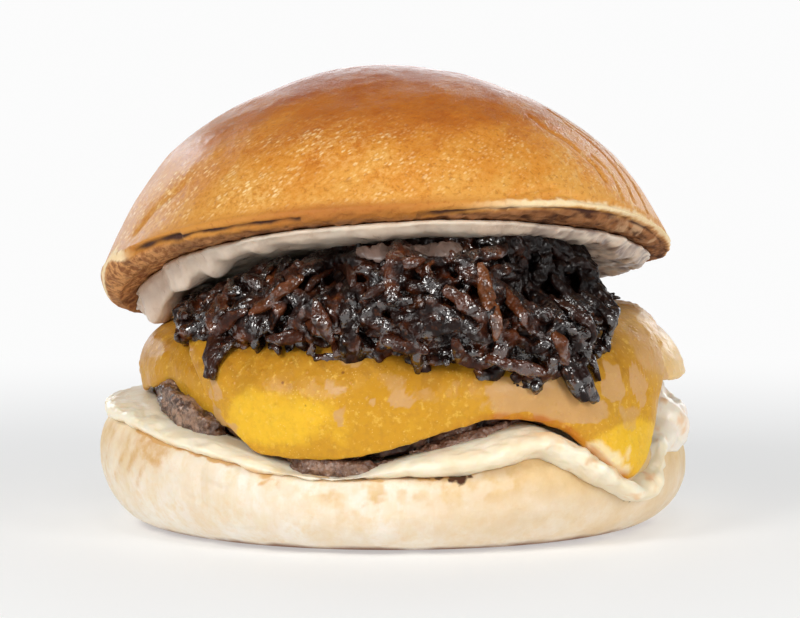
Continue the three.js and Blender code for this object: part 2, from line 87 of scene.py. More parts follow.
SAUCE = {
    "crest_radius": 49.3,
    "crest": [[-170, 23.8], [-154, 23], [-147, 22.0], [-140, 20.5], [-133, 19.2], [-126, 18.0],
              [-119, 16.6], [-112, 14.8], [-106, 13.5], [-98, 13.6], [-93, 15], [-85, 16.9], [-72, 19.4],
              [-62, 21.5], [-56, 20.2], [-51, 17.4], [-46, 13.6], [-41, 11.4], [-36, 12], [-30, 17.4],
              [-16, 25], [0, 26], [16, 24.6], [40, 22.6], [90, 23.2], [150, 23.6]],
    "end": [[-170, 20.4], [-151, 19.6], [-142, 17.9], [-134, 16.8], [-126, 15.8], [-116, 14.0],
            [-101, 13.2], [-88, 13.2], [-74, 14], [-61, 15.9], [-56, 13.8], [-51, 11.4], [-45, 9.2],
            [-38, 7.2], [-34, 8.4], [-30, 13.6], [-20, 14.6], [0, 14.8], [20, 15.6], [40, 17], [60, 18.4],
            [90, 19.6], [130, 20.2]],
    "bulge": [[-170, 1.2], [-130, 1.3], [-100, 1], [-80, 2.2], [-58, 3], [-45, 3.6], [-34, 2.4], [-20, 0.7],
              [0, 0.3], [20, 0.8], [60, 1.6], [120, 1.3]],
    "lip": 1.1,
}
CROWN = {
    "centre": (-1.5, 0, 48.3), "tilt": 9.9, "roll": 2.9, "radius": 52.9, "height": 36.3, "power": 1.69,
    "flare": [[-175, 3.9], [-130, 3], [-90, 2.2], [0, 2.3], [90, 2.6]],
    "widest": [[-175, 6.4], [-135, 3.2], [-90, 1.9], [-40, 2.9], [-12, 2.2], [10, 1.4], [90, 3.2],
               [150, 5.8]],
    "chamfer": [[-175, 3.2], [-135, 1.6], [-100, 0.8], [-60, 1.2], [-35, 2.2], [-12, 1.4], [10, 0.8],
                [90, 1.8], [150, 2.8]],
    "chamfer_width": 3.2, "bends": [(168, 44, 9.2, 36), (2, 36, 2.4, 36)],
}
SPREAD = {
    "thickness": 1.9,
    "margin": [[-178, 5.6], [-166, 9.4], [-156, 9.2], [-147, 8.2], [-135, 6.6], [-123, 5.4], [-110, 3.8],
               [-98, 2.6], [-83, 2.2], [-62, 3.2], [-40, 5.4], [-22, 4.4], [-8, 3.9], [60, 5.8], [140, 5.4]],
}
ONION = {
    "foot_radius": [[-170, 39.8], [-145, 42.6], [-120, 44.6], [-98, 46], [-76, 48.6], [-56, 50.2],
                    [-42, 47.6], [-25, 42.4], [0, 40.2], [50, 41], [100, 42], [150, 40.6]],
    "foot": [[-170, 36.4], [-145, 34], [-120, 34.6], [-98, 34], [-80, 31.6], [-60, 29.6], [-48, 28.4],
             [-38, 32], [-15, 36], [0, 37], [60, 35], [100, 33.4], [150, 35.5]],
    "lean": 0.1, "belly": 0.05,
    "headroom": [[-165, 3.6], [-140, 4.4], [-126, 2], [-114, 2], [-106, 0], [-90, -1.4], [-48, -1.2],
                 [-36, -0.6], [-24, 3], [0, 4], [60, 2], [120, 2]],
}


# Values round the burger

def around(pairs, angle):
    """A smooth periodic value by angle in degrees, through the pairs."""
    table = np.array(pairs, float)
    a = np.concatenate([table[-2:, 0] - 360, table[:, 0], table[:3, 0] + 360])
    v = np.concatenate([table[-2:, 1], table[:, 1], table[:3, 1]])
    t = np.mod(np.asarray(angle, float) - table[0, 0], 360) + table[0, 0]
    i = np.clip(np.searchsorted(a, t, side="right") - 1, 1, len(a) - 3)
    span = a[i + 1] - a[i]
    s = (t - a[i]) / span
    leave = (v[i + 1] - v[i - 1]) / (a[i + 1] - a[i - 1]) * span
    arrive = (v[i + 2] - v[i]) / (a[i + 2] - a[i]) * span
    return (v[i] * (1 + 2 * s) * (1 - s) ** 2 + leave * s * (1 - s) ** 2
            + v[i + 1] * s * s * (3 - 2 * s) + arrive * s * s * (s - 1))


def full_turn(count):
    return np.linspace(-180, 180, count, endpoint=False)


def angle_of(points):
    return np.degrees(np.arctan2(points[..., 1], points[..., 0]))


def apart(angle, centre):
    """Degrees from the centre, between -180 and 180."""
    return np.mod(np.asarray(angle) - centre + 180, 360) - 180


def bell(angle, centre, spread):
    return np.exp(-(apart(angle, centre) / spread) ** 2)


def super_arc(share, power):
    """A quarter of a superellipse: (across, up) runs from (1, 0) to (0, 1)."""
    turn = np.asarray(share) * math.pi / 2
    across = np.maximum(np.cos(turn), 0) ** (2 / power)
    return across, np.maximum(np.sin(turn), 0) ** (2 / power)


def lerp(a, b, t):
    """From a at t = 0 to b at t = 1."""
    return a + (b - a) * t


def smooth(low, high, x):
    """From 0 at low to 1 at high with soft ends; low may be the larger."""
    t = np.clip((np.asarray(x, float) - low) / (high - low), 0, 1)
    return t * t * (3 - 2 * t)


def window(x, rise, full, fade, end):
    """0 up to rise, 1 from full to fade and 0 again from end on, with soft steps between."""
    return smooth(rise, full, x) * smooth(end, fade, x)


def polar(r, angle, z):
    a = np.radians(angle)
    return np.stack([r * np.cos(a), r * np.sin(a), z + 0 * r * a], -1)


def ring_grid(rows, angle):
    """A grid of rings from rows of (radius, height)."""
    return np.stack([polar(r, angle, z) for r, z in rows])


def track(angle, z, points, radius=SIDE_RADIUS):
    """Distance in mm from points of the side to a polyline of [angle, height]."""
    line = np.array(points, float)
    x, y = np.asarray(angle) * math.pi / 180 * radius, np.asarray(z)
    px, py = line[:, 0] * math.pi / 180 * radius, line[:, 1]
    best = np.full(np.shape(x), 1e9)
    for i in range(len(line) - 1):
        dx, dy = px[i + 1] - px[i], py[i + 1] - py[i]
        t = np.clip(((x - px[i]) * dx + (y - py[i]) * dy) / (dx * dx + dy * dy), 0, 1)
        best = np.minimum(best, np.hypot(x - px[i] - t * dx, y - py[i] - t * dy))
    return best


# Repeatable noise on points in millimetres

GRADIENTS = np.random.default_rng(SEED).normal(size=(256, 3))
GRADIENTS /= np.linalg.norm(GRADIENTS, axis=1)[:, None]
SHUFFLE = np.random.default_rng(SEED + 1).permutation(256)


def lattice(cell):
    """A repeatable number from 0 to 255 for a cell."""
    i = SHUFFLE[cell[..., 0] & 255]
    j = SHUFFLE[(i + cell[..., 1]) & 255]
    return SHUFFLE[(j + cell[..., 2]) & 255]


def noise(points, size, shift=0.0):
    """Gradient noise from about -1 to 1, with lumps of about that size."""
    p = points / size + shift
    base = np.floor(p).astype(int)
    f = p - base
    w = f * f * f * (f * (f * 6 - 15) + 10)
    total = 0
    for dx in (0, 1):
        for dy in (0, 1):
            for dz in (0, 1):
                corner = np.array([dx, dy, dz])
                g = GRADIENTS[lattice(base + corner)]
                dot = ((f - corner) * g).sum(-1)
                weight = np.where(corner, w, 1 - w).prod(-1)
                total = total + dot * weight
    return 1.6 * total


def fractal(points, size, octaves=4, shift=0.0, keep=0.5):
    """Noise in octaves, each of half the size and the kept share of the height."""
    total, amplitude = 0, 1
    for k in range(octaves):
        total = total + amplitude * noise(points, size / 2 ** k, shift + 7.3 * k)
        amplitude *= keep
    return total


def cells(points, size, shift=0.0):
    """Distances to the two nearest scattered centres, in cell sizes, and a number for the nearest."""
    p = points / size + shift
    base = np.floor(p).astype(int)
    near = np.full(p.shape[:-1], 9.0)
    second = near.copy()
    owner = np.zeros(p.shape[:-1])
    for dx in (-1, 0, 1):
        for dy in (-1, 0, 1):
            for dz in (-1, 0, 1):
                cell = base + np.array([dx, dy, dz])
                key = lattice(cell)
                centre = cell + 0.5 + 0.42 * GRADIENTS[key]
                d = np.linalg.norm(p - centre, axis=-1)
                closer = d < near
                second = np.where(closer, near, np.minimum(second, d))
                owner = np.where(closer, key / 255, owner)
                near = np.where(closer, d, near)
    return near, second, owner


# Meshes

def make_object(name, points, faces):
    """points in millimetres; faces as one array or a list of arrays, each with faces of one length."""
    mesh = bpy.data.meshes.new(name)
    groups = faces if isinstance(faces, list) else [faces]
    groups = [np.asarray(g, int) for g in groups if len(g)]
    loops = np.concatenate([g.ravel() for g in groups])
    sizes = np.concatenate([np.full(len(g), g.shape[1]) for g in groups])
    mesh.vertices.add(len(points))
    mesh.vertices.foreach_set("co", (np.asarray(points) * MM).astype(np.float32).ravel())
    mesh.loops.add(len(loops))
    mesh.loops.foreach_set("vertex_index", loops.astype(np.int32))
    mesh.polygons.add(len(sizes))
    starts = np.concatenate([[0], np.cumsum(sizes)[:-1]])
    mesh.polygons.foreach_set("loop_start", starts.astype(np.int32))
    mesh.polygons.foreach_set("use_smooth", np.full(len(sizes), True))
    mesh.update(calc_edges=True)
    mesh.validate()
    obj = bpy.data.objects.new(name, mesh)
    bpy.context.scene.collection.objects.link(obj)
    return obj


def set_value(obj, name, values):
    """A value for every point, which the materials read by its name."""
    layer = obj.data.attributes.new(name, "FLOAT", "POINT")
    values = np.broadcast_to(np.asarray(values, np.float32), (len(obj.data.vertices),))
    layer.data.foreach_set("value", values.copy())


def rings_mesh(grid):
    """Points and faces of the closed surface through rings of one size, capped with a pole at each end."""
    rings, sides, _ = grid.shape
    points = np.concatenate([grid.reshape(-1, 3), grid[:1].mean(1), grid[-1:].mean(1)])
    j, i = np.meshgrid(np.arange(rings - 1), np.arange(sides), indexing="ij")
    k = (i + 1) % sides
    a, b, c, d = j * sides + i, j * sides + k, (j + 1) * sides + k, (j + 1) * sides + i
    quads = np.stack([a, b, c, d], -1).reshape(-1, 4)
    i = np.arange(sides)
    k = (i + 1) % sides
    low, high = rings * sides, rings * sides + 1
    bottom = np.stack([np.full(sides, low), k, i], -1)
    top = np.stack([np.full(sides, high), (rings - 1) * sides + i, (rings - 1) * sides + k], -1)
    return points, [quads, np.concatenate([bottom, top])]


def grid_normals(grid):
    """Outward normals of a grid of rings."""
    along = np.gradient(grid, axis=0)
    round_ = np.roll(grid, -1, axis=1) - np.roll(grid, 1, axis=1)
    n = np.cross(round_, along)
    return n / np.maximum(np.linalg.norm(n, axis=-1), 1e-9)[..., None]


def finish_piece(obj, material, node):
    obj.data.materials.append(material)
    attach(obj, "root")
    if node:
        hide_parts(node)


# Shapes of the solids, as functions of arrays

def heel_top(r, angle):
    share = np.minimum(r / HEEL["ledge"], 1)
    d = HEEL["dent"]
    dent = d["depth"] * bell(angle, d["angle"], d["spread"]) * np.exp(-((r - d["radius"]) / d["width"]) ** 2)
    return lerp(HEEL["middle"], around(HEEL["rim"], angle), share ** HEEL["rise"]) - dent


def heel_side(angle, up):
    """Radius and height on the heel's side: up is -1 at its base, 0 at its girth and 1 at its rim."""
    radius, rim = around(HEEL["radius"], angle), around(HEEL["rim"], angle)
    girth = HEEL["girth"] * rim
    power = np.where(up >= 0, HEEL["rim_power"], HEEL["base_power"])
    across, rise = super_arc(np.abs(up), power)
    inset = np.where(up >= 0, HEEL["rim_inset"], HEEL["base_inset"])
    height = np.where(up >= 0, rim - girth, -girth)
    return radius - inset * (1 - across), girth + height * rise


def heel_radius_at(angle, z):
    rim = around(HEEL["rim"], angle)
    girth = HEEL["girth"] * rim
    above = z >= girth
    rise = np.clip(np.where(above, (z - girth) / (rim - girth), (girth - z) / girth), 0, 1)
    power = np.where(above, HEEL["rim_power"], HEEL["base_power"])
    across = (1 - rise ** power) ** (1 / power)
    inset = np.where(above, HEEL["rim_inset"], HEEL["base_inset"])
    return around(HEEL["radius"], angle) - inset * (1 - across)


def patty_top_at(r, angle):
    y = r * np.sin(np.radians(angle))
    s = PATTY["sag"]
    drop = np.where(y < 0, s["front"], s["back"])
    return PATTY["top"] - drop * (np.abs(y) / s["reach"]) ** s["power"]


def patty_under(r, angle):
    share = np.minimum(r / HEEL["ledge"], 1)
    return lerp(PATTY["under"], around(PATTY["foot"], angle), share ** HEEL["rise"])


def drape(angle, past, offset):
    """Radius and height of the patty's smooth outline, past the start of its shoulder, offset outward."""
    start = around(PATTY["radius"], angle) - PATTY["shoulder"]
    bend = np.clip(past / PATTY["shoulder"], 0, math.pi / 2)
    below = np.maximum(past - PATTY["shoulder"] * math.pi / 2, 0)
    reach = PATTY["shoulder"] + offset
    centre = patty_top_at(start, angle) - PATTY["shoulder"]
    flat_r = start + past
    flat = past <= 0
    r = np.where(flat, flat_r, start + reach * np.sin(bend))
    over = patty_top_at(np.maximum(flat_r, 0), angle) + offset
    z = np.where(flat, over, centre + reach * np.cos(bend) - below)
    return r, z


def stand_off(slice_, angle, past):
    """How far a slice flares away from the smooth outline."""
    share = np.clip(past / around(slice_["hang"], angle), 0, 1)
    return around(slice_["flare"], angle) * share ** CHEESE["flare_power"]


def crown_bend(r, angle):
    """How much lower the crown's sagging edges lie, in its own frame."""
    total = 0
    for centre, spread, depth, start in CROWN["bends"]:
        out = np.maximum(r - start, 0) / (CROWN["radius"] - start)
        total = total + depth * bell(angle, centre, spread) * out ** 2
    return -total


def crown_axes():
    """Columns of the crown's turn: tilted about X, then rolled about its own Y."""
    t, p = math.radians(-CROWN["tilt"]), math.radians(-CROWN["roll"])
    about_x = np.array([[1, 0, 0], [0, math.cos(t), -math.sin(t)], [0, math.sin(t), math.cos(t)]])
    about_y = np.array([[math.cos(p), 0, math.sin(p)], [0, 1, 0], [-math.sin(p), 0, math.cos(p)]])
    return about_x @ about_y


def from_crown(points):
    return points @ crown_axes().T + np.array(CROWN["centre"], float)


def cut_plane(x, y):
    normal = crown_axes()[:, 2]
    cx, cy, cz = CROWN["centre"]
    return cz - (normal[0] * (x - cx) + normal[1] * (y - cy)) / normal[2]


def cut_plane_at(r, angle):
    a = np.radians(angle)
    return cut_plane(r * np.cos(a), r * np.sin(a))


def heap_top(angle, r):
    """Height where the onions end under the crown's sauce."""
    return cut_plane_at(r, angle) - SPREAD["thickness"] - GAP - around(ONION["headroom"], angle)


def flank(angle, rise):
    """Radius and height on the onion heap's flank: rise 0 is its foot and 1 its upper edge."""
    share = np.clip(rise, 0, 1)
    shape = 1 - ONION["lean"] * share ** 2 + ONION["belly"] * np.sin(np.pi * share)
    foot = around(ONION["foot_radius"], angle)
    low = around(ONION["foot"], angle)
    return foot * shape, lerp(low, heap_top(angle, foot * (1 - ONION["lean"])), rise)


# Materials

class Graph:
    """A node graph of one material, with short names for the nodes that the materials here use."""

    def __init__(self, name):
        self.material = bpy.data.materials.new(name)
        self.material.use_nodes = True
        self.tree = self.material.node_tree
        self.tree.nodes.clear()
        self.shader = self.tree.nodes.new("ShaderNodeBsdfPrincipled")
        self.output = self.tree.nodes.new("ShaderNodeOutputMaterial")
        self.tree.links.new(self.shader.outputs[0], self.output.inputs["Surface"])
        self.coords = self.tree.nodes.new("ShaderNodeTexCoord").outputs["Object"]

    def put(self, socket, value):
        if isinstance(value, bpy.types.NodeSocket):
            self.tree.links.new(value, socket)
        elif isinstance(value, str):
            socket.default_value = colour(value)
        else:
            socket.default_value = value

    def set(self, **values):
        for name, value in values.items():
            self.put(self.shader.inputs[name.replace("_", " ")], value)

    def node(self, kind, **inputs):
        made = self.tree.nodes.new(kind)
        for name, value in inputs.items():
            self.put(made.inputs[name], value)
        return made

    def noise(self, scale, detail=4, rough=0.55, distort=0.0, coords=None):
        made = self.node("ShaderNodeTexNoise", Vector=coords or self.coords, Scale=scale, Detail=detail,
                         Roughness=rough, Distortion=distort)
        return made.outputs["Fac"]

    def cells(self, scale, coords=None):
        made = self.node("ShaderNodeTexVoronoi", Vector=coords or self.coords, Scale=scale)
        return made.outputs["Distance"]

    def stretch(self, x, y, z, turn=(0, 0, 0), coords=None):
        """Coordinates scaled along each axis, for long or slanting textures."""
        made = self.node("ShaderNodeMapping", Vector=coords or self.coords, Scale=(x, y, z), Rotation=turn)
        return made.outputs[0]

    def value(self, name, share=1):
        """A value that set_value gave the points, or a share of it."""
        made = self.tree.nodes.new("ShaderNodeAttribute")
        made.attribute_name = name
        return made.outputs["Fac"] if share == 1 else self.times(made.outputs["Fac"], share)

    def step(self, x, low, high, to_low=0.0, to_high=1.0):
        made = self.tree.nodes.new("ShaderNodeMapRange")
        made.interpolation_type = "SMOOTHSTEP"
        for i, value in enumerate((x, low, high, to_low, to_high)):
            self.put(made.inputs[i], value)
        return made.outputs[0]

    def math(self, kind, a, b):
        made = self.tree.nodes.new("ShaderNodeMath")
        made.operation = kind
        self.put(made.inputs[0], a)
        self.put(made.inputs[1], b)
        return made.outputs[0]

    def times(self, a, b):
        return self.math("MULTIPLY", a, b)

    def plus(self, a, b):
        return self.math("ADD", a, b)

    def swing(self, texture, amount):
        """A texture from 0 to 1 as a value that swings to both sides of 0."""
        return self.times(self.plus(texture, -0.5), amount)

    def mix(self, share, a, b):
        made = self.tree.nodes.new("ShaderNodeMix")
        made.data_type = "RGBA"
        self.put(made.inputs["Factor"], share)
        self.put(made.inputs[6], a)
        self.put(made.inputs[7], b)
        return made.outputs[2]

    def bump(self, height, distance, strength):
        made = self.node("ShaderNodeBump", Height=height, Distance=distance, Strength=strength)
        return made.outputs[0]


def colour(text):
    """Linear RGBA from an sRGB hex colour."""
    parts = [int(text[i:i + 2], 16) / 255 for i in (1, 3, 5)]
    return tuple(c / 12.92 if c <= 0.04045 else ((c + 0.055) / 1.055) ** 2.4 for c in parts) + (1.0,)


# Heel of the bun

HEEL_SIDES = 590
TOAST_SPOTS = [  # on the upper edge: angle, height, radius in mm, strength
    (-147.9, 19.3, 3.2, 0.55), (-140.5, 15.5, 2.6, 0.75), (-143.5, 17.2, 2.6, 0.7),
    (-137.3, 18.4, 0.9, 1.0), (-133, 18.2, 0.7, 0.8), (-126, 17.5, 0.7, 0.8), (-118.8, 16.2, 0.5, 0.7),
    (-114.3, 14.2, 1.4, 0.5), (-112, 12.4, 0.9, 0.5), (-104.5, 13.2, 0.5, 0.5), (-83.5, 12.6, 1.4, 0.5),
    (-50.6, 12.4, 0.8, 0.7), (-46.5, 11.4, 1.0, 0.6), (-96, 8.6, 0.5, 0.5), (-80.5, 12.2, 2.2, 0.35),
    (-66, 11.5, 3.2, 0.25), (20, 15, 3, 0.5), (48, 17, 2.4, 0.6), (75, 18.5, 1.2, 0.8),
    (96, 18.6, 2.6, 0.6), (121, 19, 1.0, 0.9), (140, 19.4, 3.0, 0.5), (163, 18.6, 1.6, 0.6),
]
STAIN_STROKES = [  # thin brown lines and curls: points [angle, height], half width, strength
    ([[-150, 19.2], [-146, 18.6], [-142.5, 17.7], [-137, 17.2], [-126, 15.9], [-114, 13.8]], 0.5, 1.2),
    ([[-143, 18.4], [-145, 16.4], [-143.7, 15.1], [-140.4, 14.5]], 1.3, 0.5),
    ([[-147, 18.8], [-147, 16.4], [-150.5, 12.6]], 1.3, 0.4),
    ([[-152, 18], [-152, 15.5], [-157, 10]], 0.9, 0.32), ([[-144.5, 17], [-144, 14], [-147, 10]], 0.8, 0.3),
    ([[-160, 18], [-162, 14], [-166, 9]], 1.0, 0.28),
    ([[-117, 14.2], [-113.5, 13.0], [-115.5, 12.2]], 0.5, 0.5),
    ([[-114, 14.6], [-101, 13.1], [-92, 12.9]], 0.3, 0.5),
    ([[-85, 13.4], [-79, 13.5], [-74, 14.2]], 0.5, 0.7),
    ([[-60, 15.9], [-54, 13.6], [-46, 9.8], [-39, 7.4]], 0.35, 0.45),
    ([[140, 20], [156, 19.6], [172, 20]], 0.35, 0.6), ([[95, 18.8], [112, 19.4], [124, 18.8]], 0.5, 0.6),
    ([[20, 15.4], [38, 16.6], [55, 17.8]], 0.4, 0.6),
]
CHAR_SPOTS = [  # beside the sauce: angle, height, radius in mm, strength
    (-82.8, 13.9, 0.8, 0.8), (-81, 13.5, 0.6, 0.9), (-78.6, 13.6, 1.0, 1.0), (-77, 13.3, 1.3, 0.9),
    (-75.2, 13.6, 0.7, 0.8), (-57.6, 15.3, 0.8, 0.5), (-54.4, 14.2, 0.6, 0.5), (-40.5, 7.9, 1.1, 0.7),
    (-38.4, 7.2, 0.8, 0.6), (30, 17, 1.1, 0.8), (112, 19.6, 1.2, 0.8),
]


def spots(angle, z, table):
    """The strongest of the round spots in a table of (angle, height, radius in mm, strength)."""
    total = np.zeros(np.shape(angle))
    for at, height, size, strength in table:
        off = apart(angle, at) * math.pi / 180 * HEEL_RADIUS
        total = np.maximum(total, strength * np.exp(-(off ** 2 + (z - height) ** 2) / size ** 2))
    return total


def heel_grid():
    angle = full_turn(HEEL_SIDES)
    base = [(heel_side(angle, -1.0)[0] * s, np.zeros(HEEL_SIDES)) for s in (0.03, 0.3, 0.6, 0.85, 0.95)]
    side = [heel_side(angle, up) for up in np.linspace(-1, 1, 84)]
    edge = heel_side(angle, 1.0)[0]
    top = [(edge * s, heel_top(edge * s, angle)) for s in (0.97, 0.93, 0.88, 0.82, 0.7, 0.5, 0.25, 0.03)]
    return ring_grid(base + side + top, angle)


def heel_relief(grid):
    """Soft folds and dimples of the steamed skin, none at the flat base."""
    normals = grid_normals(grid)
    z = grid[..., 2]
    free = smooth(0.2, 5, z)
    soft = 0.45 * fractal(grid, 17, 3, 3.0) + 0.12 * fractal(grid * [1, 1, 0.7], 4.5, 2, 11.0)
    creases = np.abs(noise(grid * [1, 1, 0.45], 5.5, 30.0))
    wrinkle = -0.32 * np.exp(-(creases / 0.07) ** 2) * smooth(0.1, 0.5, noise(grid, 16, 5.0))
    return grid + normals * ((soft + wrinkle) * free)[..., None]


def heel_mesh():
    points, faces = rings_mesh(heel_relief(heel_grid()))
    obj = make_object("heel_bread", points, faces)
    heel_values(obj, points)
    return obj


def heel_values(obj, points):
    """Where the bread is tan, stained, charred or bare crumb, and where its right side is darker, partly with
    painted shade.
    """
    a = angle_of(points)
    z, r = points[:, 2], np.hypot(points[:, 0], points[:, 1])
    warp = fractal(points, 9, 3, 41.0)
    rim = around(HEEL["rim"], a)
    under_rim = rim - z
    right = np.exp(-((under_rim - 1) / 6.5) ** 2) * window(a, -76, -58, 5, 48)
    left = np.exp(-((under_rim - 3) / 7) ** 2) * (0.7 * bell(a, -168, 26) + 0.5 * bell(a, 120, 60))
    mottled = smooth(-0.15, 0.4, fractal(points, 2.8, 3, 43.0))
    middle = 0.95 * np.exp(-((under_rim - 2.5) / 4) ** 2) * bell(a, -86, 22) * mottled
    tan = np.clip((1.25 * right + left + middle) * (0.85 + 0.5 * warp), 0, 1)
    set_value(obj, "tan", tan)
    swirl = fractal(points * [1, 1, 1.6], 3.2, 3, 17.0)
    stain = 0.6 * spots(a + 1.2 * swirl, z + 0.9 * swirl, TOAST_SPOTS)
    for line, half, strength in STAIN_STROKES:
        away = track(a + 0.5 * swirl, z + 0.4 * swirl, line, HEEL_RADIUS) / half
        stain = np.maximum(stain, strength * np.exp(-away ** 2))
    set_value(obj, "stain", np.clip(stain, 0, 1))
    # right: the right side, darkened in the material partly as the bread's tan and partly as painted shade
    set_value(obj, "right", window(a, -108, -40, 20, 70))
    set_value(obj, "char", np.clip(spots(a + 0.9 * swirl, z + 0.5 * swirl, CHAR_SPOTS) * 1.5 - 0.3, 0, 1))
    set_value(obj, "base", smooth(1.5, 0.35, z + 0.5 * warp))
    set_value(obj, "crumb", smooth(51, 47, r) * smooth(5, 10, z))


def heel_material():
    g = Graph("heel_skin")
    blotch = g.noise(110, 5, 0.6)
    fine = g.noise(700, 4, 0.6)
    tone = g.mix(g.step(blotch, 0.34, 0.68), "#f3eadc", "#ecdac0")
    streaks = g.noise(1, 4, 0.6, coords=g.stretch(240, 240, 50))
    tone = g.mix(g.times(g.step(streaks, 0.5, 0.66), 0.45), tone, "#f9f3e8")
    tone = g.mix(g.times(g.step(streaks, 0.46, 0.34), 0.35), tone, "#e9d2a8")
    tone = g.mix(g.times(g.step(fine, 0.45, 0.75), 0.35), tone, "#ead3ab")
    tone = g.mix(g.times(g.step(g.noise(240, 5, 0.7), 0.5, 0.7), 0.4), tone, "#e8c792")
    tan = g.mix(g.step(g.noise(260, 5, 0.65), 0.3, 0.7), "#e8c78c", "#d6ab66")
    tone = g.mix(g.value("tan", 0.9), tone, tan)
    # darker blotches on the right side: partly the bread's tan, partly painted shade
    tone = g.mix(g.times(g.value("right"), g.step(blotch, 0.3, 0.7, 0.35, 0.75)), tone, "#dcc096")
    stain = g.step(g.plus(g.value("stain"), g.times(g.noise(420, 6, 0.7), 0.9)), 0.5, 1.12)
    tone = g.mix(g.times(stain, 0.8), tone, "#d09a46")
    char = g.step(g.plus(g.value("char"), g.times(g.noise(700, 4, 0.6), 0.8)), 0.7, 1.15)
    tone = g.mix(char, tone, "#4a2614")
    tone = g.mix(g.times(g.value("base"), g.step(blotch, 0.2, 0.5)), tone, "#8a6044")
    tone = g.mix(g.value("crumb"), tone, "#d9b07c")
    g.set(Base_Color=tone, Roughness=g.step(fine, 0.3, 0.7, 0.5, 0.68), Subsurface_Weight=0.25,
          Subsurface_Scale=0.003, Subsurface_Radius=(1.0, 0.6, 0.35), Specular_IOR_Level=0.3)
    skin = g.plus(g.times(g.noise(420, 5, 0.6), 0.7), g.times(g.noise(1700, 3, 0.6), 0.3))
    g.set(Normal=g.bump(skin, 0.0006, 0.45))
    return g.material


def make_heel():
    finish_piece(heel_mesh(), heel_material(), "heel_bun")


# Cream sauce between the heel and the patty

SAUCE_SIDES = 640
# Ridges and hollows where it has run down at the front right: points [angle, height], half width, height
SAUCE_FLOWS = [
    ([[-84, 14.6], [-74, 16.6], [-66, 18.2], [-60, 18.6], [-54, 16.0], [-47, 12.2], [-42, 9.8],
      [-37, 8.2]], 2.6, 0.7), ([[-36, 9.8], [-30, 8.4], [-27, 7.6]], 3.4, 1.3),
    ([[-24, 27], [-20, 23.5], [-17, 19.5], [-16, 15.5]], 2.6, 1.5),
    ([[-16, 15.5], [-22, 13.4], [-30, 12.2]], 1.9, 1.2),
    ([[-16, 15.5], [-8, 14.8], [0, 15.6], [12, 16.2]], 1.6, 1.2),
    ([[-8, 20.6], [-3, 20.2], [2, 20.6]], 1.9, 0.7), ([[-24, 27.5], [-12, 27], [0, 26.6]], 1.6, 0.9),
    ([[22, 22], [30, 19.5], [38, 18.6]], 2.2, 1.2), ([[64, 22], [72, 20.4], [84, 20.8]], 2.0, 1.1),
    ([[118, 22.4], [126, 21.2], [134, 21.8]], 2.0, 1.0),
    ([[-168, 21.8], [-158, 21.4], [-150, 20.6]], 1.8, 0.7),
]
SAUCE_HOLLOWS = [
    ([[-11, 24], [-5, 23.6], [3, 24]], 1.7, 1.5), ([[-12, 17.8], [-4, 17.4], [6, 18]], 1.6, 1.3),
    ([[-64, 16.9], [-60, 17.3], [-56, 16.4]], 1.4, 0.4),
]


def flows(angle, z, table):
    """Height of the ridges in a table of (points, half width, height)."""
    total = np.zeros(np.shape(angle))
    for points, half, height in table:
        d = track(angle, z, points) / half
        total = np.maximum(total, height * np.clip(1 - d * d, 0, 1) ** 0.7)
    return total


def sauce_row(share, angle):
    """Radius and height of the exposed face: share 0 is its end on the heel and 1 its crest."""
    end, crest = around(SAUCE["end"], angle), around(SAUCE["crest"], angle)
    side = heel_radius_at(angle, end)
    bulge = around(SAUCE["bulge"], angle) * np.sin(math.pi * share)
    r = lerp(side + SAUCE["lip"] * share ** 0.35, SAUCE["crest_radius"], share ** 2.4) + bulge
    return r, lerp(end, crest, share ** 0.9)


def sauce_inside(angle, crest_r, crest_z):
    """From the crest in to the patty's side, down it and in under the patty."""
    wall = around(PATTY["radius"], angle) + 0.1
    foot = np.minimum(patty_under(wall, angle) + 0.2, crest_z)
    rows = []
    for t in (0.15, 0.3, 0.5, 0.7, 0.85, 1):
        rows.append((lerp(crest_r, wall, t), crest_z + 0.5 * np.sin(t * math.pi / 2)))
    rows += [(wall - 0.3 * t, lerp(crest_z + 0.5, foot, t)) for t in (0.3, 0.6, 1)]
    for s in (0.93, 0.8, 0.6, 0.3, 0.03):
        low = heel_top(wall * s, angle) + 0.3
        rows.append((wall * s, np.maximum(patty_under(wall * s, angle) - 0.2, low)))
    return rows


def sauce_grid():
    angle = full_turn(SAUCE_SIDES)
    wave = 0.45 * fractal(polar(52.0, angle, 0 * angle), 5, 3, 60.0)
    end = around(SAUCE["end"], angle)
    edge = heel_radius_at(angle, end)
    under = [(edge * s, heel_top(edge * s, angle) + 0.15) for s in (0.03, 0.4, 0.7, 0.85, 0.95)]
    face = []
    for share in np.linspace(0, 1, 46):
        r, z = sauce_row(share, angle)
        face.append((r, z - wave * (1 - share) ** 1.5))
    crest_r, crest_z = face[-1]
    rows = under + face + sauce_inside(angle, crest_r, crest_z)
    return ring_grid(rows, angle), len(under), len(under) + len(face)


def sauce_mesh():
    grid, first, last = sauce_grid()
    normals = grid_normals(grid)
    angle = angle_of(grid)
    z = grid[..., 2]
    share = np.zeros(grid.shape[:2])
    share[first:last] = np.sin(np.linspace(0, math.pi, last - first))[:, None] ** 0.4
    warp = 0.8 * noise(grid, 5, 70.0)
    whipped = 1 + 1.3 * window(angle, -82, -60, -32, -20) + 0.6 * bell(angle, -150, 24)
    lumps = 0.42 * fractal(grid, 7, 3, 50.0) + 0.26 * whipped * fractal(grid, 2.8, 3, 52.0)
    shape = flows(angle + warp, z + 0.4 * warp, SAUCE_FLOWS) - flows(angle + warp, z, SAUCE_HOLLOWS)
    grid = grid + normals * ((lumps + shape) * share)[..., None]
    points, faces = rings_mesh(grid)
    obj = make_object("cream_sauce", points, faces)
    sauce_values(obj, points)
    return obj


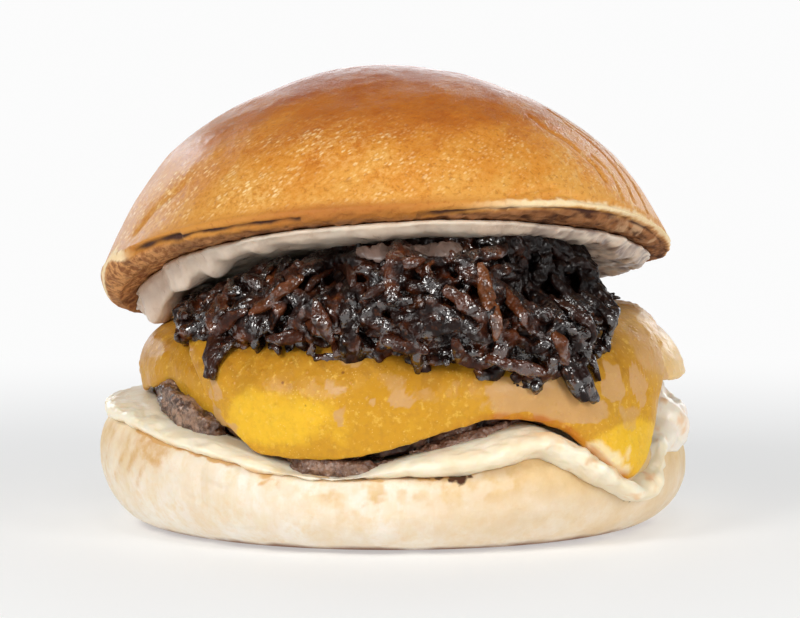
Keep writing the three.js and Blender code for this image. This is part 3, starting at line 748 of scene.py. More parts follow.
def sauce_values(obj, points):
    """Where the sauce is thin and greyish, and where it has brown flecks and edges."""
    a = angle_of(points)
    grey = window(a, -34, -20, 20, 60)
    set_value(obj, "grey", grey * (0.7 + 0.3 * noise(points, 6, 9.0)))
    flecks = fractal(points, 3.4, 3, 80.0)
    spotted = 0.8 * smooth(0.3, 0.75, flecks) * window(a, -80, -50, 0, 60)
    over_edge = (points[:, 2] - around(SAUCE["end"], a)) / 0.8
    edge = np.exp(-over_edge ** 2) * window(a, -156, -149, -118, -104) * smooth(-0.5, 0.4, flecks)
    below_crest = (around(SAUCE["crest"], a) - points[:, 2] - 0.8) / 0.8
    brown = np.exp(-below_crest ** 2) * window(a, -66, -60, -46, -40) * smooth(-0.6, 0.3, flecks)
    set_value(obj, "fleck", np.maximum(np.maximum(spotted, edge), 0.8 * brown))


def cream_material():
    g = Graph("cream_sauce")
    cloud = g.noise(160, 4, 0.55)
    tone = g.mix(g.step(cloud, 0.35, 0.7), "#f8ecd4", "#efddbd")
    tone = g.mix(g.value("grey"), tone, g.mix(cloud, "#efe2d4", "#f8eee2"))
    tone = g.mix(g.value("fleck", 0.8), tone, "#e6b273")
    g.set(Base_Color=tone, Roughness=g.step(g.noise(350, 3), 0.3, 0.7, 0.28, 0.42), Subsurface_Weight=0.4,
          Subsurface_Scale=0.004, Subsurface_Radius=(1.0, 0.7, 0.45), Specular_IOR_Level=0.5)
    relief = g.plus(g.times(g.noise(380, 4, 0.5), 0.8), g.times(g.noise(1500, 2), 0.2))
    g.set(Normal=g.bump(relief, 0.0005, 0.35))
    return g.material


def make_sauce():
    finish_piece(sauce_mesh(), cream_material(), "sauce_heel")


# Patty

PATTY_SIDES = 640
BAR_VOXEL = 0.32  # mm
BAR_KEPT_FACES = 0.6  # share of the remeshed faces
# Bars of mince that stick out: points [angle, height, radius], thickness at both ends, strands
MEAT_BARS = [
    ([[-153, 25.8, 45.6], [-149, 25.0, 46.8], [-141, 23.0, 47.4], [-134, 21.0, 47.2], [-129, 19.8, 45.6]],
      5.8, 4.4, 18),
    ([[-115, 15.8, 46.8], [-109, 15.1, 48.2], [-101, 14.6, 48.4], [-94, 14.7, 47.4], [-89, 15.6, 46.4]],
      3.6, 2.8, 12),
    ([[-90, 15.9, 45.8], [-80, 17.7, 46.4], [-70, 20.1, 46.4], [-62, 21.6, 45.4]], 3.4, 2.8, 9),
    ([[62, 23.0, 43.8], [70, 22.6, 44.8], [80, 23.0, 43.6]], 3.4, 2.8, 6),
    ([[116, 23.4, 42.8], [124, 23.2, 43.8], [134, 23.8, 42.8]], 3.6, 2.8, 6),
]


def patty_grid():
    angle = full_turn(PATTY_SIDES)
    radius = around(PATTY["radius"], angle)
    corner, shoulder = PATTY["foot_round"], PATTY["shoulder"]
    flat = radius - corner
    low = patty_under(flat, angle)
    rows = [(flat * s, patty_under(flat * s, angle)) for s in (0.03, 0.35, 0.65, 0.82, 0.92, 0.97)]
    for turn in np.linspace(0, math.pi / 2, 8):
        rows.append((flat + corner * np.sin(turn), low + corner * (1 - np.cos(turn))))
    start = radius - shoulder
    top = patty_top_at(start, angle) - shoulder
    rows += [(radius, lerp(low + corner, top, t)) for t in np.linspace(0, 1, 30)[1:-1]]
    for turn in np.linspace(math.pi / 2, 0, 16):
        rows.append((start + shoulder * np.sin(turn), top + shoulder * np.cos(turn)))
    rows += [(start * s, patty_top_at(start * s, angle)) for s in (0.9, 0.7, 0.4, 0.03)]
    return ring_grid(rows, angle)


def patty_mesh():
    """Coarse crumbs of mince with deep seams, all sunk into the smooth outline."""
    grid = patty_grid()
    normals = grid_normals(grid)
    bent = grid + 1.6 * np.stack([noise(grid, 6, s) for s in (1.0, 2.0, 3.0)], -1)
    near, second, owner = cells(bent, 7.5, 4.0)
    fine_near, fine_second, _ = cells(bent, 2.6, 14.0)
    seam = smooth(0.0, 0.4, second - near)
    fine_seam = smooth(0.0, 0.5, fine_second - fine_near)
    depth = -1.5 + 1.0 * seam + 0.7 * owner * seam + 0.16 * fine_seam + 0.4 * fractal(grid, 2.6, 3, 5.0)
    depth = depth + 0.7 * noise(grid, 11, 8.0)
    grid = grid + normals * np.minimum(depth, 0.3)[..., None]
    points, faces = rings_mesh(grid)
    obj = make_object("patty_mince", points, faces)
    pole = [0.5, 0.5]
    # seam: low in the seams between crumbs, where the material paints shade
    set_value(obj, "seam", np.concatenate([(seam * (0.6 + 0.4 * fine_seam)).ravel(), pole]))
    set_value(obj, "crumb", np.concatenate([owner.ravel(), pole]))
    set_value(obj, "wet", 0)
    return obj


def bar_strands(rng, row):
    """Short strands of mince along one bar: tubes with a mark of their own."""
    line, first, last, count = row
    line = np.array(line)
    parts = []
    for k in range(count):
        reach = rng.uniform(0.45, 0.8)
        begin = rng.uniform(0, 1 - reach)
        t = np.linspace(begin, begin + reach, 22)
        at, z, r = (np.interp(t * (len(line) - 1), np.arange(len(line)), line[:, i]) for i in range(3))
        thick = lerp(first, last, t)
        turn = 2 * math.pi * k / count + rng.uniform(-0.4, 0.4) + rng.uniform(-1.2, 1.2) * t
        away = rng.uniform(0.22, 0.34) * thick
        path = polar(r + away * np.cos(turn), at, z + away * np.sin(turn))
        size = float(thick.mean()) * rng.uniform(0.34, 0.6)
        parts.append((strip_tube(path, polar(1.0, at, 0.1), size, 0.8 * size, 3.1 * k), rng.uniform()))
    return parts


def bars_mesh():
    """Bars of mince that stick out under the cheese, melted into one skin."""
    rng = np.random.default_rng(SEED + 3)
    parts = [part for row in MEAT_BARS for part in bar_strands(rng, row)]
    points, faces, _ = join_meshes(parts)
    points, faces = melted(wrinkled(points, 0.5, 2.6), faces, BAR_VOXEL, BAR_KEPT_FACES)
    near, second, owner = cells(points, 1.5, 350.0)
    points = wrinkled(points, 0.34, 1.1)
    obj = make_object("patty_bars", points, faces)
    # seam: low between the strands, where the material paints shade
    set_value(obj, "seam", 0.35 + 0.65 * smooth(0.0, 0.3, second - near))
    set_value(obj, "crumb", owner)
    angle = angle_of(points)
    # wet: where the bars take the pattern of dark sear and painted glints
    set_value(obj, "wet", np.maximum(bell(angle, -142, 18), 0.55 * bell(angle, -104, 14)))
    return obj


def meat_material():
    g = Graph("seared_mince")
    grain = g.noise(900, 4, 0.65)
    tone = g.mix(g.value("crumb"), "#6d4531", "#96705a")
    tone = g.mix(g.times(g.step(grain, 0.5, 0.72), 0.6), tone, "#a0806a")
    tone = g.mix(g.times(g.step(g.noise(330, 4), 0.5, 0.7), 0.7), tone, "#54301f")
    # painted shade: dark colour in the seams between the crumbs
    tone = g.mix(g.step(g.value("seam"), 0.4, 0.02), tone, "#3a2016")
    # dark seared patches, and light patches that are painted glints
    sear_and_glint = g.mix(g.step(g.noise(420, 6, 0.7), 0.44, 0.57), "#2a1811", "#ad8c74")
    tone = g.mix(g.value("wet", 0.75), tone, sear_and_glint)
    tone = g.mix(g.times(g.value("wet"), g.step(g.noise(150, 4, 0.6), 0.44, 0.56, 0.0, 0.8)), tone, "#33190f")
    g.set(Base_Color=tone, Roughness=g.step(grain, 0.3, 0.7, 0.3, 0.5), Subsurface_Weight=0.12,
          Subsurface_Scale=0.002, Subsurface_Radius=(1.0, 0.35, 0.25), Specular_IOR_Level=0.3)
    g.set(Coat_Weight=0.7, Coat_Roughness=0.08, Coat_IOR=1.6)
    fibre = g.plus(g.times(g.noise(1100, 4, 0.6), 0.7), g.times(g.cells(1500), 0.4))
    g.set(Normal=g.bump(fibre, 0.0006, 0.6), Coat_Normal=g.bump(fibre, 0.0006, 0.9))
    return g.material


def make_patty():
    material = meat_material()
    finish_piece(patty_mesh(), material, "patty")
    finish_piece(bars_mesh(), material, None)


# Cheese

CHEESE_SIDES = 530
EDGE_THICKNESS = 1.25  # the melted slice thins towards its free edge
FLAT_ROWS = 8  # on top of the patty
HANG_ROWS = 44  # from the shoulder to the free edge
# Patches where onion juice and cream lie under or on it: angle, height, half width, half height, strength
TAN_PATCHES = [
    (-64.5, 27.5, 6.5, 3.2, 1.0), (-57, 26.5, 5.0, 4.0, 0.9), (-69, 25.4, 2.6, 2.2, 0.5),
    (-43, 28.5, 2.6, 3.6, 0.9), (-36.5, 27.5, 1.6, 4.2, 1.0), (-52, 24.0, 4.6, 2.6, 0.7),
    (-90, 29.5, 3.0, 2.0, 0.45), (-84, 27.5, 2.2, 1.6, 0.4), (-101, 29.0, 1.3, 1.3, 0.5),
    (-100.5, 33.0, 3.6, 1.1, 0.5), (-124.5, 20.6, 1.7, 1.6, 0.6), (-41, 22.0, 3.0, 2.4, 0.5),
    (-30, 22.5, 2.0, 3.0, 0.5), (54, 24, 4, 3, 0.8), (100, 27, 4, 2.4, 0.7), (146, 27, 3, 4, 0.7),
    (-160, 27, 2.6, 2, 0.5), (15, 29, 2.6, 3, 0.5), (-130.5, 23.4, 1.5, 3.4, 0.8),
    (-137, 29, 3.6, 3.0, 0.25), (-150, 31, 5, 2.4, 0.2), (-128, 27.5, 1.5, 1.2, 0.7),
    (-99.5, 24.3, 1.6, 1.4, 0.6), (-89, 27.2, 2.2, 1.6, 0.8), (-94.5, 26.2, 1.0, 0.8, 0.6),
    (-20, 27, 2.4, 3.0, 0.6), (-29, 33, 5, 4.0, 0.55),
]
CREAM_PATCHES = [  # pale, where sauce has mixed in at the drip
    (-49.4, 17.4, 1.9, 1.5, 0.9), (-47, 15.6, 2.2, 1.3, 1.0), (-45, 13.4, 2.4, 1.3, 1.0),
    (-43, 16.4, 0.9, 1.2, 0.6),
]


def patches(angle, z, table):
    """The strongest of the soft patches in a table of (angle, height, half width, half height, strength)."""
    total = np.zeros(np.shape(angle))
    for at, height, wide, tall, strength in table:
        off = apart(angle, at) * math.pi / 180 * CHEESE_RADIUS
        d = (off / wide) ** 2 + ((z - height) / tall) ** 2
        total = np.maximum(total, strength * smooth(1.5, 0.55, d))
    return total


def slice_row(slice_, upper, angle, past, lift):
    """A ring of a slice, that far past the patty's shoulder and that far over the slice's underside."""
    offset = GAP + (CHEESE["thickness"] + CHEESE["air"] if upper else 0)
    below = stand_off(LOWER_SLICE, angle, past) if upper else 0
    r, z = drape(angle, past, offset + lift + below + stand_off(slice_, angle, past))
    return polar(r, angle, z)


def slice_grid(slice_, upper, seed):
    """Rows from the pole of the underside out to the free edge and back over the top."""
    angle = full_turn(CHEESE_SIDES)
    ring = polar(CHEESE_RADIUS, angle, 0 * angle)
    hang = around(slice_["hang"], angle) + 0.35 * fractal(ring, 4.5, 3, seed)
    start = around(PATTY["radius"], angle) - PATTY["shoulder"]
    shares = np.concatenate([np.linspace(-1, 0, FLAT_ROWS)[:-1] ** 3, np.linspace(0, 1, HANG_ROWS)])

    def row(share, lift):
        past = share * start * 0.97 if share <= 0 else share * hang
        thick = lerp(CHEESE["thickness"], EDGE_THICKNESS, max(share, 0) ** 4)
        return slice_row(slice_, upper, angle, past, lift * thick)

    under = [row(s, 0) for s in shares]
    edge, half = [], 0.5 * EDGE_THICKNESS
    for turn in np.linspace(0, math.pi, 7)[1:-1]:
        tip = 1 + half * math.sin(turn) / np.maximum(hang, 1)
        edge.append(slice_row(slice_, upper, angle, tip * hang, half * (1 - math.cos(turn))))
    over = [row(s, 1) for s in shares[::-1]]
    return np.stack(under + edge + over), len(under), len(edge)


def slice_mesh(name, slice_, upper, seed):
    grid, count, edge = slice_grid(slice_, upper, seed)
    normals = grid_normals(grid)
    share = np.concatenate([np.zeros(count), np.linspace(0, 1, edge), np.ones(count)])[:, None]
    soft = (0.5 if upper else 0.25) * fractal(grid, 13, 2, seed + 3) + 0.12 * fractal(grid, 4, 2, seed + 5)
    near, _, owner = cells(grid, 2.6, seed + 7)
    bubble = 0.22 * np.clip(1 - (near / 0.32) ** 2, 0, 1) * (owner > 0.6)
    grid = grid + normals * ((soft + bubble) * share + soft * (1 - share) * 0.3)[..., None]
    points, faces = rings_mesh(grid)
    obj = make_object(name, points, faces)
    shares = np.concatenate([np.linspace(-1, 0, FLAT_ROWS)[:-1], np.linspace(0, 1, HANG_ROWS)])
    out = np.concatenate([shares, np.ones(edge), shares[::-1]])
    at_edge = np.repeat(smooth(0.93, 0.99, out), CHEESE_SIDES)
    slice_values(obj, points, np.concatenate([at_edge, [0, 0]]), upper)
    return obj


def slice_values(obj, points, at_edge, upper):
    """Where a slice is tan, creamy, bright, dull, dark or browned, and where it is paler, in part with
    painted light.
    """
    a, z = angle_of(points), points[:, 2]
    wobble, tall = 2.2 * fractal(points, 4, 3, 21.0), 1.3 * fractal(points, 4, 3, 33.0)
    set_value(obj, "tan", patches(a + wobble, z + tall, TAN_PATCHES))
    set_value(obj, "cream", patches(a + 0.6 * wobble, z + 0.7 * tall, CREAM_PATCHES) * (1 if upper else 0))
    bright = bell(a, -116, 12) * np.exp(-((z - 23.5) / 5) ** 2) + 1.2 * bell(a, -40, 11) * smooth(24, 18, z)
    bright = bright + 0.2 * bell(a, -95, 24) * smooth(30, 20, z)
    set_value(obj, "bright", smooth(0.3, 0.6, bright + 0.25 * fractal(points, 8, 4, 27.0)))
    set_value(obj, "dull", bell(a, -165, 32))
    set_value(obj, "high", smooth(24, 35, z + 1.6 * fractal(points, 7, 3, 29.0)))
    rim = at_edge * window(a, -82, -66, -46, -38)
    set_value(obj, "rim", rim * (0.75 + 0.5 * fractal(points, 2.2, 2, 31.0)))
    # pale: painted light on the upper slice where it faces up and right; on the lower slice's right lobe
    # partly its own paler colour, partly painted light against the crown's shadow
    pale = 0.4 * bell(a, -25, 9) * smooth(26, 30, z) if upper else bell(a, -4, 36) * smooth(39, 32, z)
    set_value(obj, "pale", pale)


def cheese_material():
    g = Graph("melted_cheese")
    cloud = g.noise(190, 5, 0.6)
    grain = g.noise(900, 4, 0.6)
    tone = g.mix(g.value("bright"), "#cd9726", "#eab92e")
    tone = g.mix(g.times(g.value("high"), g.step(cloud, 0.1, 0.6)), tone, "#b17a20")
    mottle = g.times(g.step(g.noise(800, 5, 0.7), 0.44, 0.66), g.step(g.value("bright"), 0.3, 1.0, 1.0, 0.4))
    tone = g.mix(g.times(mottle, 0.5), tone, "#bb862a")
    tone = g.mix(g.times(g.step(grain, 0.54, 0.7), 0.4), tone, "#f0c860")
    smudge = g.step(g.noise(150, 5, 0.65, 0.4), 0.5, 0.62)
    tone = g.mix(g.times(smudge, g.value("high", 0.7)), tone, "#9c6a1e")
    # painted glints: small light flecks in the base colour
    flecks = g.times(g.step(g.cells(1500), 0.22, 0.1), g.step(g.noise(240, 4, 0.6), 0.46, 0.6))
    tone = g.mix(g.times(flecks, 0.35), tone, "#f6dc8c")
    # paler where pale marks it: painted light in part
    tone = g.mix(g.value("pale", 0.75), tone, "#f2cf94")
    tan = g.step(g.plus(g.value("tan"), g.swing(cloud, 0.6)), 0.25, 0.6)
    tone = g.mix(g.times(tan, 0.8), tone, g.mix(cloud, "#c0915c", "#d6ac78"))
    tone = g.mix(g.value("cream", 0.85), tone, "#f5e2b8")
    tone = g.mix(g.value("rim", 0.8), tone, "#b9661c")
    specks = g.step(g.cells(240), 0.10, 0.05)
    tone = g.mix(g.times(specks, g.step(cloud, 0.5, 0.6)), tone, "#8d5a1c")
    g.set(Base_Color=tone, Roughness=g.step(grain, 0.3, 0.7, 0.3, 0.45), Subsurface_Weight=0.3,
          Subsurface_Scale=0.0025, Subsurface_Radius=(1.0, 0.55, 0.12), Specular_IOR_Level=0.14)
    g.set(Coat_Weight=g.step(g.value("dull"), 0.0, 1.0, 0.24, 0.02), Coat_Roughness=0.25, Coat_IOR=1.3)
    small = g.step(g.cells(700), 0.34, 0.1)
    relief = g.plus(g.times(g.noise(230, 3), 0.55), g.plus(g.times(small, 0.2), g.times(grain, 0.3)))
    g.set(Normal=g.bump(relief, 0.0006, 0.5), Coat_Normal=g.bump(relief, 0.0006, 0.4))
    return g.material


def make_cheese():
    material = cheese_material()
    lower = slice_mesh("cheese_slice_lower", LOWER_SLICE, False, 90.0)
    upper = slice_mesh("cheese_slice_upper", UPPER_SLICE, True, 120.0)
    finish_piece(lower, material, "cheese_lower")
    finish_piece(upper, material, "cheese_upper")


# Crown of the bun and the sauce on its cut face

CROWN_SIDES = 670
SPREAD_SIDES = 480
TOP_ROUND = 0.24  # share of the radius
# Folds of the skin above the rim: points [angle, height over the cut face], half width, depth
RIM_CREASES = [
    ([[-66, 3.6], [-61, 4.8], [-56, 5.6]], 0.5, 0.5), ([[-60, 3.4], [-55, 4.3], [-50, 4.4]], 0.5, 0.6),
    ([[-52, 4.2], [-44, 3.9], [-34, 3.6], [-24, 3.4], [-12, 3.2]], 0.6, 0.55),
    ([[-17, 3.8], [-14, 8.0], [-17, 13.0]], 0.5, 0.55),
    ([[-9, 4.2], [-7, 8.6], [-11, 14.0], [-16, 19.0]], 0.6, 0.6),
    ([[-31, 5.5], [-29, 12], [-34, 20]], 0.5, 0.35),
    ([[-25, 4.5], [-23, 10], [-26, 17], [-32, 23]], 0.5, 0.5), ([[-40, 8], [-42, 14], [-49, 20]], 0.6, 0.3),
    ([[-36, 5], [-35, 9], [-38, 13]], 0.4, 0.3), ([[3, 4.0], [2, 9.0], [-4, 15.0]], 0.9, 0.4),
    ([[-150, 7.2], [-146, 9.6], [-138, 11.4]], 0.9, 0.3), ([[60, 3.8], [72, 4.4], [84, 4.2]], 0.6, 0.5),
    ([[110, 5.2], [124, 6.2], [140, 7.4]], 0.7, 0.5), ([[30, 4], [26, 9], [20, 14]], 0.8, 0.35),
    ([[160, 9], [166, 14], [163, 18]], 0.9, 0.35),
]
TOAST_LINE = [  # height over the cut face where the skin ends and the toasted crumb starts
    [-177, 2.6], [-168, 4.2], [-160, 5.2], [-154, 2.9], [-145, 2.4], [-138, 1.6], [-126, 0.8], [-107, 0.3],
    [-83, 0.3], [-66, 1.3], [-40, 2.3], [-17, 1.5], [10, 1.1], [90, 1.6], [150, 2.8],
]
LIFTED_SKIN = [  # gaps where the skin stands off the toasted face, carved and darkened with painted shadow
    ([[-149, 3.1], [-141, 2.7], [-133, 2.0]], 1.0, 1.3),
    ([[-133, 1.9], [-122, 1.3], [-106, 0.95]], 0.4, 0.7),
    ([[-84, 0.4], [-66, 1.3], [-52, 1.8], [-36, 1.8], [-22, 1.3]], 0.3, 0.4),
    ([[100, 1.7], [122, 2.2], [140, 2.6]], 0.5, 0.8),
]
DRIPS = [  # dollops that hang from the sauce: angle, radius, spread in mm, depth
    (-176, 42.0, 5.0, 6.4), (-165, 43, 6.0, 3.0), (-152, 43, 6.0, 3.2), (-146, 40, 4, 1.6),
    (-135, 41, 3, 2.2), (-138, 42, 2.6, 1.4), (-146, 44, 2.2, 1.1), (-128, 45, 2.4, 0.9),
    (-118, 44.5, 2.0, 0.8), (-92, 46, 3, 0.5), (-22, 42, 6, 1.6), (-8, 44, 4, 1.3), (14, 43, 5, 1.2),
    (70, 44, 4, 1.1), (120, 43, 4, 1.3), (168, 44, 6, 1.8),
]


def rounded_top(across, up):
    """The dome's height share, with a round crown in place of the slight point in the middle."""
    n, edge = CROWN["power"], TOP_ROUND
    if across >= edge:
        return up
    level = (1 - edge ** n) ** (1 / n)
    slope = edge ** (n - 1) * (1 - edge ** n) ** (1 / n - 1)
    return level + slope * (edge ** 2 - across ** 2) / (2 * edge)


def dome_row(share, angle):
    across, up = super_arc(share, CROWN["power"])
    up = rounded_top(across, up)
    flare = around(CROWN["flare"], angle)
    low = np.maximum(around(CROWN["widest"], angle), around(CROWN["chamfer"], angle) + 0.4)
    return (CROWN["radius"] - flare) * across + flare * (1 - share) ** 5, lerp(low, CROWN["height"], up)


def rounded(points, steps):
    """A Catmull-Rom curve through rows of (radius, height), with that many steps in each span."""
    rows = [np.stack(p) for p in points]
    rows = [2 * rows[0] - rows[1]] + rows + [2 * rows[-1] - rows[-2]]
    made = []
    for a, b, c, d in zip(rows, rows[1:], rows[2:], rows[3:]):
        for t in np.arange(steps) / steps:
            made.append(0.5 * (2 * b + (c - a) * t + (2 * a - 5 * b + 4 * c - d) * t * t
                               + (3 * b - a - 3 * c + d) * t ** 3))
    return made + [rows[-2]]


def crown_local_grid():
    angle = full_turn(CROWN_SIDES)
    flat = np.zeros(CROWN_SIDES)
    radius = CROWN["radius"]
    cut = [(flat + r, flat) for r in (1.5, 15, 28, 36, 40, *np.linspace(42, 49.2, 16))]
    corner = [(flat + radius - CROWN["chamfer_width"], flat)]
    corner += [(flat + radius - 0.8, around(CROWN["chamfer"], angle))]
    corner += [dome_row(0.0, angle), dome_row(0.03, angle)]
    shares = np.concatenate([np.linspace(0.03, 0.9, 100)[1:], [0.94, 0.97, 0.995]])
    dome = [dome_row(s, angle) for s in shares]
    rows = cut + [tuple(p) for p in rounded(corner, 6)] + dome
    return angle, bent_grid(rows, angle)


def bent_grid(rows, angle):
    return np.stack([polar(r, angle, z + crown_bend(r, angle)) for r, z in rows])


def crown_relief(angle, grid):
    """The grid with the skin's folds and the crumb's grain, and a mask for the painted shadow in the dark
    gaps.
    """
    normals = grid_normals(grid)
    z, r = grid[..., 2], np.hypot(grid[..., 0], grid[..., 1])
    lift = z - crown_bend(r, angle[None, :])
    skin = smooth(2.5, 8, lift)
    soft = 0.5 * fractal(grid, 22, 2, 200.0) + 0.1 * fractal(grid, 5, 2, 210.0) - 0.25
    a = np.broadcast_to(angle, z.shape)
    crease = np.zeros(z.shape)
    warp = 0.7 * noise(grid, 5, 220.0)
    for line, half, depth in RIM_CREASES:
        crease = np.maximum(crease, depth * np.exp(-(track(a + warp, lift + 0.5 * warp, line) / half) ** 2))
    crumb = (1 - smooth(0.5, 3.5, lift)) * (0.35 * fractal(grid, 2.2, 3, 230.0))
    painted_gap_shadow = np.zeros(z.shape)
    for line, half, depth in LIFTED_SKIN:
        away = track(a + 0.5 * warp, lift + 0.2 * warp, line) / half
        painted_gap_shadow = np.maximum(painted_gap_shadow, np.exp(-away ** 2) * (0.8 + 0.9 * warp))
        crease = np.maximum(crease, depth * np.exp(-away ** 2))
    return grid + normals * (soft * skin - crease + crumb)[..., None], painted_gap_shadow


def crown_mesh():
    grid, painted_gap_shadow = crown_relief(*crown_local_grid())
    points, faces = rings_mesh(grid)
    obj = make_object("crown_bread", from_crown(points), faces)
    set_value(obj, "painted_gap_shadow", np.concatenate([painted_gap_shadow.ravel(), [0, 0]]))
    crown_values(obj, points)
    return obj


def crown_values(obj, points):
    """Where the crown is cut, bare, streaked, golden or shiny, and where painted glints fleck it."""
    flat_r = np.hypot(points[:, 0], points[:, 1])
    la = angle_of(points)
    up = points[:, 2] - crown_bend(flat_r, la)
    chamfer = around(CROWN["chamfer"], la)
    low = np.maximum(around(CROWN["widest"], la), chamfer + 0.4)
    warp = fractal(points, 8, 3, 240.0)
    body = np.where(flat_r > 20, (up - low) / (CROWN["height"] - low), 1.0) * (up > 0.3)
    torn = fractal(points, 1.6, 2, 250.0)
    over = up - around(TOAST_LINE, la) + 0.25 * warp + 0.2 * torn
    set_value(obj, "cut", smooth(0.25, -0.25, over))
    right = window(la, -78, -60, 30, 70)
    left = smooth(0.35, 0.6, bell(la, -166, 17))
    rim = right * smooth(1.8, 1.2, over + 0.45 * torn) * smooth(0.0, 0.5, over)
    corner = left * smooth(2.2, 1.5, over + 0.7 * torn) * smooth(-0.3, 0.2, over)
    set_value(obj, "crumb_rim", np.clip(rim + corner, 0, 1))
    ring = np.stack([8 * np.cos(np.radians(la)), 8 * np.sin(np.radians(la)), (flat_r + 1.2 * up) / 1.1], -1)
    set_value(obj, "streak", 0.5 + 0.5 * fractal(ring, 1.0, 4, 255.0, 0.7))
    set_value(obj, "gold", np.clip(1.02 - 1.15 * body + 0.07 * warp, 0, 1))
    browned = smooth(0.065, 0.0, body + 0.012 * warp) * (bell(la, -98, 26) + 0.3 * left)
    set_value(obj, "brown_edge", np.clip(browned, 0, 1))
    patchy = smooth(-0.5, 0.7, fractal(points, 11, 3, 265.0))
    band = smooth(0.0, 0.08, body) * (0.1 + 0.9 * smooth(0.56, 0.3, body + 0.08 * warp))
    band = band * smooth(0.95, 0.8, body)
    # fleck: where painted glints speckle the lower band of the dome
    set_value(obj, "fleck", band * (0.35 + 0.65 * bell(la, -118, 46)) * (0.35 + 0.65 * patchy))
    lower_shine = 0.8 * bell(la, -176, 9) * np.exp(-((body - 0.12) / 0.05) ** 2)
    glazed = smooth(0.2, 0.46, body + 0.07 * warp - 0.16 * bell(la, -172, 26))
    set_value(obj, "shine", np.clip(glazed + lower_shine, 0.1, 1))
    set_value(obj, "right", window(la, -60, -15, 60, 120) * smooth(0.85, 0.5, body))
    set_value(obj, "crease", window(la, -58, -40, -8, 10) * smooth(0.75, 0.45, body))
    set_value(obj, "left", bell(la, -162, 36) * smooth(0.8, 0.35, body + 0.1 * warp))


def toasted_tone(g):
    """Colour of the toasted crumb under the crown's rim."""
    toast = g.mix(g.step(g.value("streak"), 0.15, 0.75), "#4b2c1b", "#a47149")
    toast = g.mix(g.times(g.step(g.noise(420, 5, 0.7), 0.42, 0.62), 0.65), toast, "#8a5732")
    toast = g.mix(g.times(g.step(g.noise(130, 4), 0.54, 0.66), g.value("right")), toast, "#c9a27b")
    coarse = g.mix(g.step(g.noise(560, 6, 0.78), 0.42, 0.58), "#925a35", "#e0a468")
    toast = g.mix(g.value("left", 0.85), toast, coarse)
    scorched = g.times(g.step(g.noise(150, 3), 0.52, 0.62), g.value("left", 0.5))
    return g.mix(scorched, toast, "#5a3d30")


def crust_material():
    g = Graph("glazed_crust")
    cloud = g.noise(70, 5, 0.65)
    mid = g.noise(260, 6, 0.7)
    fine = g.noise(1100, 4, 0.7)
    turned = g.stretch(1, 1, 1, turn=(0, math.radians(38), 0))
    dashes = g.noise(1, 6, 0.7, 0.6, coords=g.stretch(420, 640, 1500, coords=turned))
    sweep = g.noise(1, 4, 0.6, 0.3, coords=g.stretch(40, 90, 210, coords=turned))
    wave = g.plus(g.value("gold"), g.plus(g.swing(cloud, 0.7), g.swing(sweep, 0.9)))
    wave = g.plus(wave, g.plus(g.swing(mid, 0.5), g.swing(dashes, 0.5)))
    tone = g.mix(g.step(wave, 0.0, 0.42), "#a95516", "#c17023")
    tone = g.mix(g.step(wave, 0.34, 0.74), tone, "#d68d34")
    tone = g.mix(g.step(wave, 0.66, 1.05), tone, "#dd9f49")
    tone = g.mix(g.value("right", 0.55), tone, "#cb8d4e")
    tone = g.mix(g.value("left", 0.75), tone, g.mix(cloud, "#a9662a", "#c98636"))
    lines = g.noise(1, 3, 0.5, coords=g.stretch(800, 800, 40))
    creases = g.times(g.value("crease"), g.step(lines, 0.55, 0.66))
    tone = g.mix(g.times(creases, 0.4), tone, "#edcd98")
    # painted glints: light dots and fine light specks where fleck marks
    dots = g.cells(1, coords=g.stretch(680, 900, 1900, coords=turned))
    flecks = g.times(g.step(dots, 0.44, 0.2), g.step(g.noise(260, 4, 0.6), 0.42, 0.56))
    tone = g.mix(g.times(g.times(flecks, g.value("fleck")), 0.85), tone, "#fbe4b0")
    tone = g.mix(g.times(g.step(fine, 0.48, 0.62), g.value("fleck", 0.4)), tone, "#f4cf8c")
    tone = g.mix(g.times(g.step(fine, 0.47, 0.34), 0.45), tone, "#a2581f")
    tone = g.mix(g.value("brown_edge", 0.75), tone, "#a5602c")
    tone = g.mix(g.value("crumb_rim"), tone, g.mix(fine, "#e9c58e", "#fbe8c2"))
    tone = g.mix(g.value("cut"), tone, toasted_tone(g))
    # painted shadow in the dark gaps under the lifted skin
    tone = g.mix(g.step(g.value("painted_gap_shadow"), 0.25, 0.9), tone, "#4a2d22")
    bare = g.math("MAXIMUM", g.value("cut"), g.value("crumb_rim"))
    rough = g.plus(g.step(fine, 0.3, 0.7, 0.36, 0.5), g.times(bare, 0.35))
    g.set(Base_Color=tone, Roughness=rough, Subsurface_Weight=0.1, Subsurface_Scale=0.002,
          Subsurface_Radius=(1.0, 0.5, 0.2), Specular_IOR_Level=0.14)
    glaze = g.step(g.plus(g.times(mid, 0.6), g.times(dashes, 0.4)), 0.36, 0.6, 0.25, 0.8)
    g.set(Coat_Weight=g.times(g.times(glaze, g.value("shine")), g.step(g.value("cut"), 0.5, 0.0)),
          Coat_Roughness=0.17, Coat_IOR=1.35)
    relief = g.plus(g.times(dashes, 0.5), g.plus(g.times(fine, 0.4), g.times(mid, 0.5)))
    relief = g.plus(relief, g.times(creases, 0.3))
    g.set(Normal=g.bump(relief, 0.0007, 0.5), Coat_Normal=g.bump(relief, 0.0007, 0.38))
    return g.material


